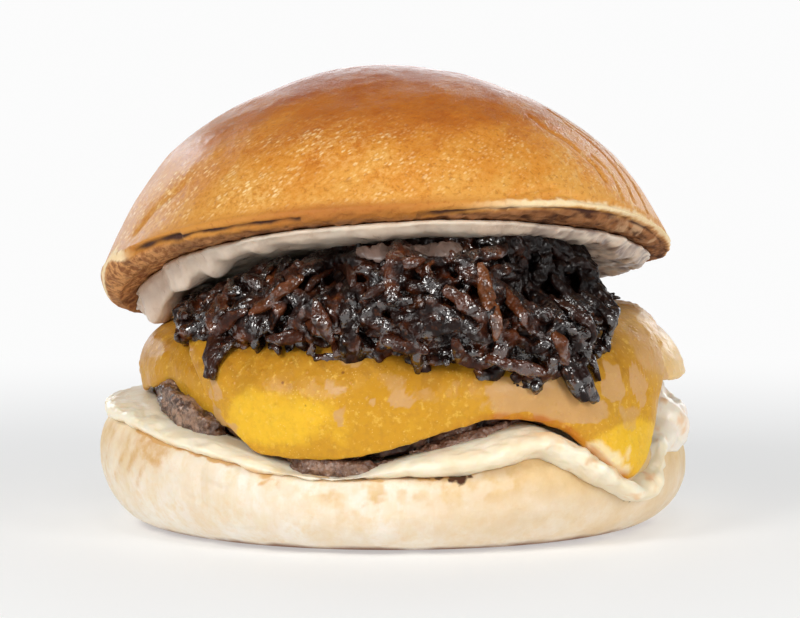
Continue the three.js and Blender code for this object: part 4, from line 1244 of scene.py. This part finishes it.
def spread_grid():
    angle = full_turn(SPREAD_SIDES)
    ring = polar(48.0, angle, 0 * angle)
    rim = CROWN["radius"] - around(SPREAD["margin"], angle) + 0.5 * np.sin(np.radians(9 * angle) + 1)
    rim = rim + 0.9 * fractal(ring, 6, 3, 260.0)
    thick = SPREAD["thickness"]
    shares = np.array([0.03, 0.3, 0.5, 0.65, 0.74, 0.8, 0.85, 0.89, 0.92, 0.945, 0.965, 0.98, 0.99])

    def hang(r):
        total = 0
        for at, radius, spread, depth in DRIPS:
            off = apart(angle, at) * math.pi / 180 * r
            total = total + depth * np.exp(-(off / spread) ** 2 - ((r - radius) / spread) ** 2)
        return total

    under = []
    for s in np.concatenate([[0.03, 0.3, 0.5], np.linspace(0.62, 0.985, 34)]):
        r = rim * s
        soft = smooth(0.999, 0.95, s)
        under.append((r, -GAP - thick * soft ** 0.5 - hang(r) * soft))
    edge = [(rim * 0.997, -GAP - thick * 0.3 + 0 * rim)]
    over = [(rim * s, -GAP + 0 * rim) for s in shares[::-1]]
    rows = under + edge + over
    return bent_grid(rows, angle), len(under)


def spread_mesh():
    grid, under = spread_grid()
    normals = grid_normals(grid)
    free = np.zeros(grid.shape[:2])
    free[:under] = 1
    lumps = 0.42 * fractal(grid, 6.5, 3, 270.0) + 0.12 * fractal(grid, 1.8, 2, 280.0)
    a = angle_of(grid)
    streaks = fractal(grid @ np.array([[0.2, 0.5, 0], [0.7, -0.15, 0], [0, 0, 0.3]]), 1.3, 3, 285.0)
    lumps = lumps + 0.3 * streaks * window(a, -75, -50, 20, 60)
    grid = grid + normals * (lumps * free)[..., None]
    points, faces = rings_mesh(grid)
    obj = make_object("crown_sauce", from_crown(points), faces)
    a = angle_of(points)
    # dim: a little grey-brown everywhere and streaky patches on the right, partly brown streaks in the sauce
    # and partly painted shade under the crown
    stain = window(a, -72, -50, 20, 60) * smooth(-0.6, 0.4, fractal(points, 3.4, 3, 290.0))
    streak = np.concatenate([streaks.ravel(), [0, 0]])
    set_value(obj, "dim", np.clip(0.2 + stain * (0.65 - 0.5 * streak), 0, 1))
    return obj


def browned_sauce_material():
    g = Graph("browned_sauce")
    cloud = g.noise(170, 5, 0.6)
    tone = g.mix(g.step(cloud, 0.3, 0.7), "#e9d0b8", "#f4e2cd")
    tone = g.mix(g.times(g.step(g.noise(420, 4, 0.6), 0.5, 0.75), 0.4), tone, "#c9ad9a")
    # dim: grey-brown darkening; painted shade on the smear, and on the crown's sauce partly painted shade,
    # partly brown streaks
    tone = g.mix(g.value("dim"), tone, g.mix(cloud, "#5f4a42", "#a18b80"))
    # shade: painted shade, darker still, on the smear only
    tone = g.mix(g.value("shade"), tone, "#4a3830")
    g.set(Base_Color=tone, Roughness=g.step(cloud, 0.3, 0.7, 0.26, 0.4), Subsurface_Weight=0.3,
          Subsurface_Scale=0.003, Subsurface_Radius=(1.0, 0.65, 0.5), Specular_IOR_Level=0.5)
    relief = g.plus(g.times(g.noise(260, 3), 0.7), g.times(g.noise(1300, 2), 0.3))
    g.set(Normal=g.bump(relief, 0.0005, 0.35))
    return g.material


def make_crown():
    finish_piece(crown_mesh(), crust_material(), "crown_bun")
    finish_piece(spread_mesh(), browned_sauce_material(), "sauce_crown")


# Caramelised onions: a lumpy core, strips on it and strips that hang over the cheese

CLUMPS = [  # angle, spread, lowest and highest rise where it acts, how far it stands out in mm
    (-83, 12.5, 0.1, 0.84, 3.6), (-84, 22, 0.98, 1.4, -3.4), (-143, 7, 0.1, 0.8, 2.2),
    (-129, 5, 0.45, 0.95, 1.8), (-113, 6, 0.7, 1.2, 1.8), (-104, 6, 0.0, 0.55, 1.8),
    (-104.5, 5, 0.62, 1.4, -4.6), (-136, 3, 0.3, 1.4, -1.8), (-125, 7, 0.0, 0.4, 1.4),
    (-54, 17, 0.5, 1.4, -6.0), (-120.5, 3.5, 0.6, 1.4, -3.0), (-61, 12, 0.0, 0.45, 1.6),
    (-40, 7, 0.3, 0.8, 1.2), (-172, 20, 0.0, 1.4, -2.4), (-10, 27, 0.0, 1.4, -4.8), (-38, 9, 0.0, 1.0, 0.8),
    (10, 20, 0.1, 0.9, 1.6), (62, 15, 0.4, 1.2, -2.6), (100, 16, 0.0, 0.8, 1.8), (150, 14, 0.3, 1.2, -2.4),
]
# Strips that show one by one: angle and height of both ends, width, thickness, tone, stand-off
SHOWN_STRIPS = [
    (-73.0, 49.6, -71.6, 37.0, 2.7, 1.5, 0.86, 1.6), (-120.8, 40.6, -109.8, 47.0, 2.2, 1.5, 0.66, 1.6),
    (-105.2, 43.4, -101.8, 36.2, 2.3, 1.7, 0.56, 1.6), (-81, 45.8, -73.6, 40.4, 3.0, 1.5, 0.55, 1.9),
    (-67.4, 44.8, -66.2, 39.6, 2.2, 1.9, 0.6, 1.4), (-73, 33.6, -60.5, 31.0, 2.6, 1.7, 0.5, 1.6),
    (-92, 37.0, -84, 35.0, 2.4, 1.9, 0.35, 1.6), (-143, 42.5, -136, 46.0, 2.4, 1.9, 0.3, 1.6),
    (-131, 36.6, -122, 41.4, 2.2, 1.7, 0.45, 1.4), (-117, 36.4, -108, 37.2, 2.6, 1.7, 0.4, 1.4),
    (-96, 44.0, -88, 47.6, 2.4, 1.7, 0.3, 1.6), (-84, 50.4, -92, 49.0, 2.2, 1.5, 0.55, 1.2),
    (-60.5, 38.0, -57.6, 32.6, 2.4, 1.9, 0.75, 1.8), (-52, 47, -47.8, 40.6, 2.3, 1.5, 0.5, 1.2),
    (-55, 43.6, -50, 37.4, 1.9, 1.5, 0.6, 1.6), (-45, 44, -41.6, 36.8, 2.6, 1.7, 0.25, 1.4),
    (-113.5, 49.4, -111, 44.4, 2.2, 1.7, 0.4, 0.8), (-125.4, 46.6, -119.6, 44.6, 2.4, 1.9, 0.3, 1.2),
]
# Strips over the cheese: start angle and drop, end angle and drop, width, thickness, tone
HANGING_STRIPS = [
    (-132, 0, -128.6, 7.6, 4.0, 2.0, 0.3), (-124.5, 1.5, -128.4, 6.6, 2.6, 1.6, 0.25),
    (-125, 0.5, -114, 4.2, 2.4, 1.8, 0.35), (-147, 1.5, -142.5, 4.6, 2.0, 1.4, 0.25),
    (-103, 0.5, -101.4, 4.0, 2.8, 2.0, 0.45), (-66, 1, -57.5, 7.2, 3.4, 2.6, 0.35),
    (-61.5, 1, -52.6, 9.4, 4.6, 2.8, 0.3), (-58.5, 1, -50.2, 10.0, 3.8, 2.6, 0.42),
    (-54, 1, -48.4, 8.0, 2.4, 2.0, 0.6), (-66, 1, -64.2, 5.0, 2.2, 1.8, 0.3),
    (-78, 1, -73.6, 4.2, 2.4, 1.8, 0.3), (-86, 1.2, -80, 2.4, 2.8, 1.6, 0.4), (34, 0, 41, 7, 2.8, 1.8, 0.3),
    (99, 0, 106, 7, 2.8, 1.8, 0.4), (158, 0, 150, 7, 2.8, 1.8, 0.3), (120, 0, 117, 4, 2.6, 1.8, 0.3),
    (70, 0, 76, 5, 2.6, 1.8, 0.3),
]
# Rows of the dark juice at the heap's foot: share of its reach over the cheese, height over the cheese
SKIRT_ROWS = [
    (-5, 0), (-2, 0), (0, 0.05), (0.7, 0.1), (1, 0.4), (0.7, 0.8), (0, 1), (-2, 1.2), (-5, 1.4),
]
MERGED_STRIPS = 360  # melted together with the core
LOOSE_STRIPS = 70
STRIP_STEPS = 20
STRIP_SIDES = 12
SCRAPS = 520
HEAP_SIDES = 420
HEAP_RADIUS = 44.0  # a middling one, to turn lengths on the heap into angles
VOXEL = 0.4  # mm
KEPT_FACES = 0.5  # share of the remeshed faces
SPECK = 300  # islands with fewer points are dropped from a melted skin


def heap_height(angle):
    foot = around(ONION["foot_radius"], angle)
    return heap_top(angle, foot * (1 - ONION["lean"])) - around(ONION["foot"], angle)


def clump(angle, rise):
    """How far the heap stands out there, in mm."""
    total = 0
    for at, spread, low, high, out in CLUMPS:
        total = total + out * bell(angle, at, spread) * smooth(low - 0.15, low + 0.1, rise) \
            * smooth(high + 0.15, high - 0.1, rise)
    return total


def heap_point(angle, rise, lift):
    """On the heap's surface with clumps; over rise 1 it turns in over the top."""
    r, z = flank(angle, np.minimum(rise, 1.0))
    inward = np.maximum(rise - 1, 0) * heap_height(angle)
    out = clump(angle, rise) + lift
    near_top = smooth(0.75, 1.05, rise)
    return polar(r - inward + out * (1 - 0.7 * near_top), angle, z - 0.7 * near_top)


def heap_core():
    angle = full_turn(HEAP_SIDES)
    foot = around(ONION["foot_radius"], angle)
    rows = [polar(foot * s, angle, patty_top_at(foot * s, angle) + 5.2) for s in (0.03, 0.4, 0.8)]
    rows += [heap_point(angle, rise, -1.4) for rise in np.linspace(0.02, 1.45, 70)]
    rim = np.hypot(rows[-1][:, 0], rows[-1][:, 1])
    rows += [polar(rim * s, angle, cut_plane_at(rim * s, angle) - 3.6) for s in (0.8, 0.5, 0.03)]
    grid = np.stack(rows)
    normals = grid_normals(grid)
    near, _, owner = cells(grid, 3.6, 300.0)
    fine = cells(grid, 1.9, 305.0)[0]
    lumps = 1.5 * (0.5 - near) + 1.1 * owner - 1.0 + 0.8 * (0.5 - fine) + 0.4 * fractal(grid, 2.2, 3, 310.0)
    return rings_mesh(grid + normals * lumps[..., None])


def juice_skirt():
    """Dark juice that creeps from the heap out over the cheese."""
    angle = full_turn(360)
    ring = polar(46.0, angle, 0 * angle)
    reach = 0.8 + 1.6 * fractal(ring, 6.5, 3, 320.0) + 0.8 * fractal(ring, 2.4, 2, 325.0)
    reach = np.minimum(reach, 2.4)
    offset = 2 * (CHEESE["thickness"] + GAP) + CHEESE["air"]
    rows = []
    for share, lift in SKIRT_ROWS:
        past = reach * max(share, 0) + min(share, 0)
        stand = stand_off(LOWER_SLICE, angle, past) + stand_off(UPPER_SLICE, angle, past)
        r, z = drape(angle, past, offset + stand + lift)
        rows.append(polar(r, angle, z))
    return rings_mesh(np.stack(rows))


def strip_tube(path, outward, width, thick, seed):
    """A flat strip with a rounded section. path and outward are rows of points and directions."""
    count = len(path)
    along = np.gradient(path, axis=0)
    along /= np.linalg.norm(along, axis=1)[:, None]
    side = np.cross(outward, along)
    side /= np.linalg.norm(side, axis=1)[:, None]
    up = np.cross(along, side)
    t = np.linspace(0, 1, count)
    taper = (np.sin(np.pi * lerp(0.04, 0.96, t))) ** 0.4
    taper = taper * (1 + 0.3 * noise(path, 3.2, seed))
    turn = np.linspace(0, 2 * np.pi, STRIP_SIDES, endpoint=False)
    c, s = np.cos(turn), np.sin(turn)
    flat = np.sign(c) * np.abs(c) ** 0.7
    ring = side[:, None] * (flat * width / 2)[None, :, None] * taper[:, None, None] \
        + up[:, None] * (s * thick / 2)[None, :, None] * (0.6 + 0.4 * taper)[:, None, None]
    return rings_mesh(path[:, None] + ring)


def strip_on_heap(rng, layer):
    """Path and outward directions of a curled strip somewhere on the heap."""
    angle = rng.uniform(-180, 180)
    rise = rng.uniform(-0.02, 1.12)
    slant = np.radians(rng.uniform(-85, 85))
    curl = rng.normal(0, 0.14)
    length = rng.uniform(6, 15)
    ds = length / (STRIP_STEPS - 1)
    s = (np.arange(STRIP_STEPS) - STRIP_STEPS / 2) * ds
    heading = slant + curl * s
    height = heap_height(angle)
    along = np.degrees(np.cumsum(np.cos(heading)) * ds / HEAP_RADIUS)
    angles = angle + along - np.degrees(np.cos(slant) * length / (2 * HEAP_RADIUS))
    rises = rise + (np.cumsum(np.sin(heading)) - np.sin(slant) * STRIP_STEPS / 2) * ds / height
    rises = np.clip(rises, -0.06, 1.3)
    ends = np.abs(np.linspace(-1, 1, STRIP_STEPS)) ** 3
    lift = layer + rng.normal(0, 0.5) + ends * rng.uniform(-0.9, 0.6)
    lift = lift + 0.5 * np.sin(s * rng.uniform(0.5, 1.1))
    path = heap_point(angles, rises, lift)
    outward = polar(1.0, angles, 0.25)
    outward = outward + rng.normal(0, 0.35, 3)
    return path, outward


def strip_between(row):
    """A strip of SHOWN_STRIPS: path, outward directions, width, thickness and tone."""
    a0, z0, a1, z1, width, thick, tone, lift = row
    t = np.linspace(0, 1, STRIP_STEPS)
    angle = lerp(a0, a1, t)
    foot = around(ONION["foot"], angle)
    rise = (lerp(z0, z1, t) - foot) / heap_height(angle)
    bow = lift + 0.7 * np.sin(np.pi * t)
    return heap_point(angle, rise, bow), polar(1.0, angle, 0.2), width, thick, tone


def strip_hanging(row):
    """A strip of HANGING_STRIPS, in the same form as strip_between."""
    a0, d0, a1, d1, width, thick, tone = row
    t = np.linspace(0, 1, STRIP_STEPS)
    angle, past = lerp(a0, a1, t ** 1.4), lerp(d0 - 2.5, d1 + 1.6, t)
    offset = 2 * (CHEESE["thickness"] + GAP) + CHEESE["air"]
    stand = stand_off(LOWER_SLICE, angle, past) + stand_off(UPPER_SLICE, angle, past)
    r, z = drape(angle, past, offset + thick * 0.42 + stand + 0.35 * np.sin(np.pi * t))
    bend = np.clip(past / PATTY["shoulder"], 0, np.pi / 2)
    return polar(r, angle, z), polar(np.sin(bend), angle, np.cos(bend)), width, thick, tone


def join_meshes(parts):
    """Points, faces and tones of parts ((points, faces), tone) as one mesh."""
    points, quads, tris, tones, start = [], [], [], [], 0
    for (p, (q, t)), tone in parts:
        points.append(p)
        quads.append(q + start)
        tris.append(t + start)
        tones.append(np.full(len(p), tone))
        start += len(p)
    return np.concatenate(points), [np.concatenate(quads), np.concatenate(tris)], np.concatenate(tones)


def random_strips(rng, count, layers, widths, thicks):
    parts = []
    for i in range(count):
        path, outward = strip_on_heap(rng, layers[i % len(layers)])
        tube = strip_tube(path, outward, rng.uniform(*widths), rng.uniform(*thicks), i * 1.7)
        parts.append((tube, rng.beta(1.3, 3.2)))
    return parts


def single_strips(rows, place, seed):
    parts = []
    for k, row in enumerate(rows):
        path, outward, width, thick, tone = place(row)
        parts.append((strip_tube(path, outward, width, thick, seed + k), tone))
    return parts


def scraps():
    """Short bits stuck on the heap."""
    rng = np.random.default_rng(SEED + 9)
    parts = []
    for _ in range(SCRAPS):
        angle, rise = rng.uniform(-180, 180), rng.uniform(0.0, 1.05)
        centre = heap_point(np.array([angle]), np.array([rise]), rng.uniform(0.0, 1.2))[0]
        way = rng.normal(size=3)
        way /= np.linalg.norm(way)
        outward = polar(1.0, angle, 0.2)
        t = np.linspace(-0.5, 0.5, 6)[:, None]
        path = centre + way * t * rng.uniform(1.2, 3.2) + outward * (0.3 - t ** 2)
        wide, thick = rng.uniform(1.0, 2.1), rng.uniform(0.9, 1.6)
        parts.append((strip_tube(path, np.tile(outward + 0.3 * way[::-1], (6, 1)), wide, thick, 1.0), 0.2))
    return parts


def wrinkled(points, amount, size):
    """Points pushed about by noise of that size."""
    push = np.stack([fractal(points, size, 3, s) for s in (400.0, 410.0, 420.0)], -1)
    return points + amount * push


def melted(points, faces, voxel, kept):
    """One skin round overlapping closed meshes: a voxel remesh, thinned to the share of faces kept."""
    rough = make_object("onion_rough", points, faces)
    remesh = rough.modifiers.new("melt", "REMESH")
    remesh.mode = "VOXEL"
    remesh.voxel_size = voxel * MM
    thin = rough.modifiers.new("thin", "DECIMATE")
    thin.ratio = kept
    made = rough.evaluated_get(bpy.context.evaluated_depsgraph_get()).to_mesh()
    count = len(made.vertices)
    co = np.zeros(count * 3, np.float32)
    made.vertices.foreach_get("co", co)
    made.calc_loop_triangles()
    tris = np.zeros(len(made.loop_triangles) * 3, np.int32)
    made.loop_triangles.foreach_get("vertices", tris)
    bpy.data.objects.remove(rough)
    return without_specks(co.reshape(-1, 3).astype(float) / MM, tris.reshape(-1, 3))


def without_specks(points, faces):
    """The same mesh without its loose islands of fewer than SPECK points."""
    island = np.arange(len(points))
    while True:
        lower = island.copy()
        np.minimum.at(lower, faces.ravel(), np.repeat(island[faces].min(axis=1), 3))
        lower = lower[lower]
        if (lower == island).all():
            break
        island = lower
    kept = np.bincount(island, minlength=len(points))[island] >= SPECK
    renamed = np.cumsum(kept) - 1
    return points[kept], renamed[faces[kept[faces[:, 0]]]]


def heap_mesh():
    rng = np.random.default_rng(SEED + 5)
    parts = [(heap_core(), 0.0), (juice_skirt(), 0.0)]
    parts += random_strips(rng, MERGED_STRIPS, (-0.8, 0.0, 0.8), (1.8, 3.4), (1.2, 2.1))
    parts += scraps()
    points, faces, _ = join_meshes(parts)
    points, faces = melted(wrinkled(points, 0.35, 2.8), faces, VOXEL, KEPT_FACES)
    a = angle_of(points)
    obj = make_object("onion_heap", wrinkled(beaded(points, a, 0.7), 0.2, 1.0), faces)
    # painted shade: the onions' tone is darker on the right side of the heap
    lit = 1 - 0.7 * window(a, -66, -52, 0, 40)
    set_value(obj, "tone", (0.25 + 0.6 * fractal(points, 4.0, 2, 430.0)) * lit)
    set_value(obj, "deep", deep_places(a, points[:, 2]))
    return obj


def beaded(points, angle, height):
    """Small round lumps, raised away from the burger's middle."""
    near = cells(points, 1.7, 335.0)[0]
    return points + polar(1.0, angle, 0.3) * (height * (0.5 - near))[:, None]


def deep_places(angle, z):
    """1 in the hollows under the crown, where painted shade makes the onions dark and takes most of their
    coat.
    """
    right = window(angle, -70, -62, -36, -24) * smooth(40, 46, z)
    left = bell(angle, -103, 5) * smooth(43, 47, z)
    return np.clip(right + left, 0, 1)


def strips_mesh():
    rng = np.random.default_rng(SEED + 6)
    parts = random_strips(rng, LOOSE_STRIPS, (0.4, 1.0), (1.8, 3.2), (1.0, 1.6))
    parts += single_strips(SHOWN_STRIPS, strip_between, 900)
    parts += single_strips(HANGING_STRIPS, strip_hanging, 700)
    points, faces, tones = join_meshes(parts)
    a = angle_of(points)
    obj = make_object("onion_strips", wrinkled(wrinkled(beaded(points, a, 0.3), 0.4, 3.0), 0.2, 1.2), faces)
    # painted shade: darker tone on the right side
    set_value(obj, "tone", tones * (1 - 0.55 * window(a, -64, -52, 0, 40)))
    set_value(obj, "deep", deep_places(a, points[:, 2]))
    return obj


def onion_material():
    g = Graph("onion")
    cloud = g.noise(330, 4, 0.6)
    tone = g.mix(g.step(g.value("tone"), 0.1, 0.6), "#1c0b07", "#4c220e")
    tone = g.mix(g.step(g.value("tone"), 0.5, 0.8), tone, "#6c3a18")
    tone = g.mix(g.step(g.value("tone"), 0.85, 0.95), tone, "#7a5a40")
    tone = g.mix(g.times(g.step(cloud, 0.45, 0.66), 0.7), tone, "#0b0505")
    tone = g.mix(g.times(g.step(g.noise(700, 4), 0.56, 0.7), 0.45), tone, "#5f3112")
    # painted shade: near black in the hollows under the crown
    tone = g.mix(g.value("deep", 0.7), tone, "#070404")
    g.set(Base_Color=tone, Roughness=g.step(g.noise(900, 3), 0.3, 0.7, 0.3, 0.5), Subsurface_Weight=0.1,
          Subsurface_Scale=0.0015, Subsurface_Radius=(1.0, 0.25, 0.1), Specular_IOR_Level=0.15)
    wet = g.step(g.noise(380, 3, 0.6), 0.43, 0.57, 0.05, 1.0)
    # less coat in the hollows, part of the painted shade there
    glint = g.times(wet, g.step(g.value("deep"), 0.0, 1.0, 1.0, 0.12))
    g.set(Coat_Weight=glint, Coat_Roughness=0.05, Coat_IOR=2.0)
    beads = g.plus(g.times(g.cells(640), -0.7), g.times(g.noise(700, 3, 0.5), 0.6))
    relief = g.plus(beads, g.times(g.cells(1150), -0.3))
    g.set(Normal=g.bump(relief, 0.0008, 0.6), Coat_Normal=g.bump(beads, 0.0008, 0.9))
    return g.material


def smear_mesh():
    """A smear of the crown's sauce on top of the front clump, darkened with painted shade."""
    t = np.linspace(0, 1, 60)
    angle = lerp(-97.5, -76, t)
    path = polar(46.9 + 0.5 * np.sin(9 * t), angle, lerp(51.1, 51.8, t) + 0.35 * np.sin(7 * t + 1))
    tube = strip_tube(path, np.tile(UP, (60, 1)) + polar(0.8, angle, 0), 4.6, 1.2, 5.0)
    obj = make_object("clump_sauce", wrinkled(wrinkled(tube[0], 0.5, 2.3), 0.35, 1.3), tube[1])
    # painted shade: shade and dim darken the whole smear
    set_value(obj, "shade", 0.5 + 0.4 * smooth(-0.4, 0.4, fractal(tube[0], 1.8, 3, 440.0)))
    set_value(obj, "dim", 1.0)
    return obj


def make_onions():
    material = onion_material()
    finish_piece(heap_mesh(), material, "onions")
    finish_piece(strips_mesh(), material, None)
    finish_piece(smear_mesh(), browned_sauce_material(), None)


# Floor, lights and camera

IMAGE_WIDTH = 800
FOCAL_PIXELS = 2673
DISTANCE = 0.5
ELEVATION = 3.5
TARGET = Vector((0.0011, 0.0, 0.039))
HORIZON_RISE = (0.07, 0.32)  # where the sky starts and stops darkening upward
HORIZON_LEVEL = 0.97
ZENITH_LEVEL = 0.12
FRONT_SHARE = 0.3  # how bright the horizon behind the camera is, as a share
# The floor glows: painted light, this share of glow near the burger and all glow from 0.4 m out, which also
# lights the burger from below.
FLOOR_GLOW = 0.45
FLOOR_SIZE = 20.0
FLOOR_LEVEL = -0.0002
WARM = (1.0, 0.99, 0.97)
COOL = (0.92, 0.96, 1.0)
COLD = (0.85, 0.93, 1.0)
LIGHT_AIM = Vector((0, 0, 0.045))
LIGHTS = [  # name, place, size, power, tint
    ("key_left", (-0.32, -0.42, 0.3), 0.24, 1.85, WARM),
    ("key_high", (0.04, -0.34, 0.52), 0.2, 0.6, WARM),
    ("key_right", (0.36, -0.38, 0.2), 0.2, 1.15, WARM),
    ("back_left", (-0.38, 0.62, 0.26), 0.28, 0.9, COLD),
    ("back_right", (0.38, 0.62, 0.28), 0.28, 0.9, COOL),
    ("back_top", (0.0, 0.64, 0.26), 0.3, 0.4, COOL),
]


def make_floor():
    mesh = bpy.data.meshes.new("floor")
    sides = ((-1, -1), (1, -1), (1, 1), (-1, 1))
    corners = [(x * FLOOR_SIZE, y * FLOOR_SIZE, FLOOR_LEVEL) for x, y in sides]
    mesh.from_pydata(corners, [], [(0, 1, 2, 3)])
    floor = bpy.data.objects.new("floor", mesh)
    bpy.context.scene.collection.objects.link(floor)
    g = Graph("floor")
    far = g.node("ShaderNodeVectorMath", Vector=g.coords)
    far.operation = "LENGTH"
    # painted light: the floor's glow
    glow = g.node("ShaderNodeEmission", Color="#ffffff", Strength=HORIZON_LEVEL)
    blend = g.node("ShaderNodeMixShader", Fac=g.step(far.outputs["Value"], 0.08, 0.4, FLOOR_GLOW, 1.0))
    g.set(Base_Color="#fcfcfb", Roughness=0.8)
    g.tree.links.new(g.shader.outputs[0], blend.inputs[1])
    g.tree.links.new(glow.outputs[0], blend.inputs[2])
    g.tree.links.new(blend.outputs[0], g.output.inputs["Surface"])
    mesh.materials.append(g.material)


def area_light(name, place, size, power, tint):
    light = bpy.data.lights.new(name, "AREA")
    light.shape = "DISK"
    light.size = size
    light.energy = power
    light.color = tint
    obj = bpy.data.objects.new(name, light)
    obj.location = place
    obj.rotation_euler = (LIGHT_AIM - obj.location).to_track_quat("-Z", "Y").to_euler()
    bpy.context.scene.collection.objects.link(obj)


def make_world():
    """White all round at the horizon, and darker overhead."""
    world = bpy.data.worlds.new("studio")
    bpy.context.scene.world = world
    world.use_nodes = True
    tree = world.node_tree
    ground = tree.nodes["Background"]
    split = tree.nodes.new("ShaderNodeSeparateXYZ")
    tree.links.new(tree.nodes.new("ShaderNodeTexCoord").outputs["Generated"], split.inputs[0])
    level = tree.nodes.new("ShaderNodeMapRange")
    level.interpolation_type = "SMOOTHSTEP"
    for i, value in enumerate((*HORIZON_RISE, HORIZON_LEVEL, ZENITH_LEVEL)):
        level.inputs[i + 1].default_value = value
    tree.links.new(split.outputs["Z"], level.inputs[0])
    turn = tree.nodes.new("ShaderNodeMapRange")
    for i, value in enumerate((-0.9, -0.1, FRONT_SHARE, 1.0)):
        turn.inputs[i + 1].default_value = value
    tree.links.new(split.outputs["Y"], turn.inputs[0])
    strength = tree.nodes.new("ShaderNodeMath")
    strength.operation = "MULTIPLY"
    tree.links.new(level.outputs[0], strength.inputs[0])
    tree.links.new(turn.outputs[0], strength.inputs[1])
    tree.links.new(strength.outputs[0], ground.inputs["Strength"])
    ground.inputs["Color"].default_value = (1, 1, 1, 1)


def make_lights():
    for row in LIGHTS:
        area_light(*row)


def make_camera():
    camera = bpy.data.cameras.new("camera")
    camera.sensor_width = 36.0
    camera.lens = FOCAL_PIXELS / IMAGE_WIDTH * camera.sensor_width
    camera.clip_start, camera.clip_end = 0.01, 20
    obj = bpy.data.objects.new("camera", camera)
    e = math.radians(ELEVATION)
    back = Vector((0, -math.cos(e), math.sin(e)))
    obj.location = TARGET + back * DISTANCE
    obj.rotation_euler = (-back).to_track_quat("-Z", "Y").to_euler()
    bpy.context.scene.collection.objects.link(obj)
    bpy.context.scene.camera = obj


bpy.context.scene.view_settings.view_transform = "Standard"
make_heel()
make_sauce()
make_patty()
make_cheese()
make_onions()
make_crown()
make_floor()
make_world()
make_lights()
make_camera()
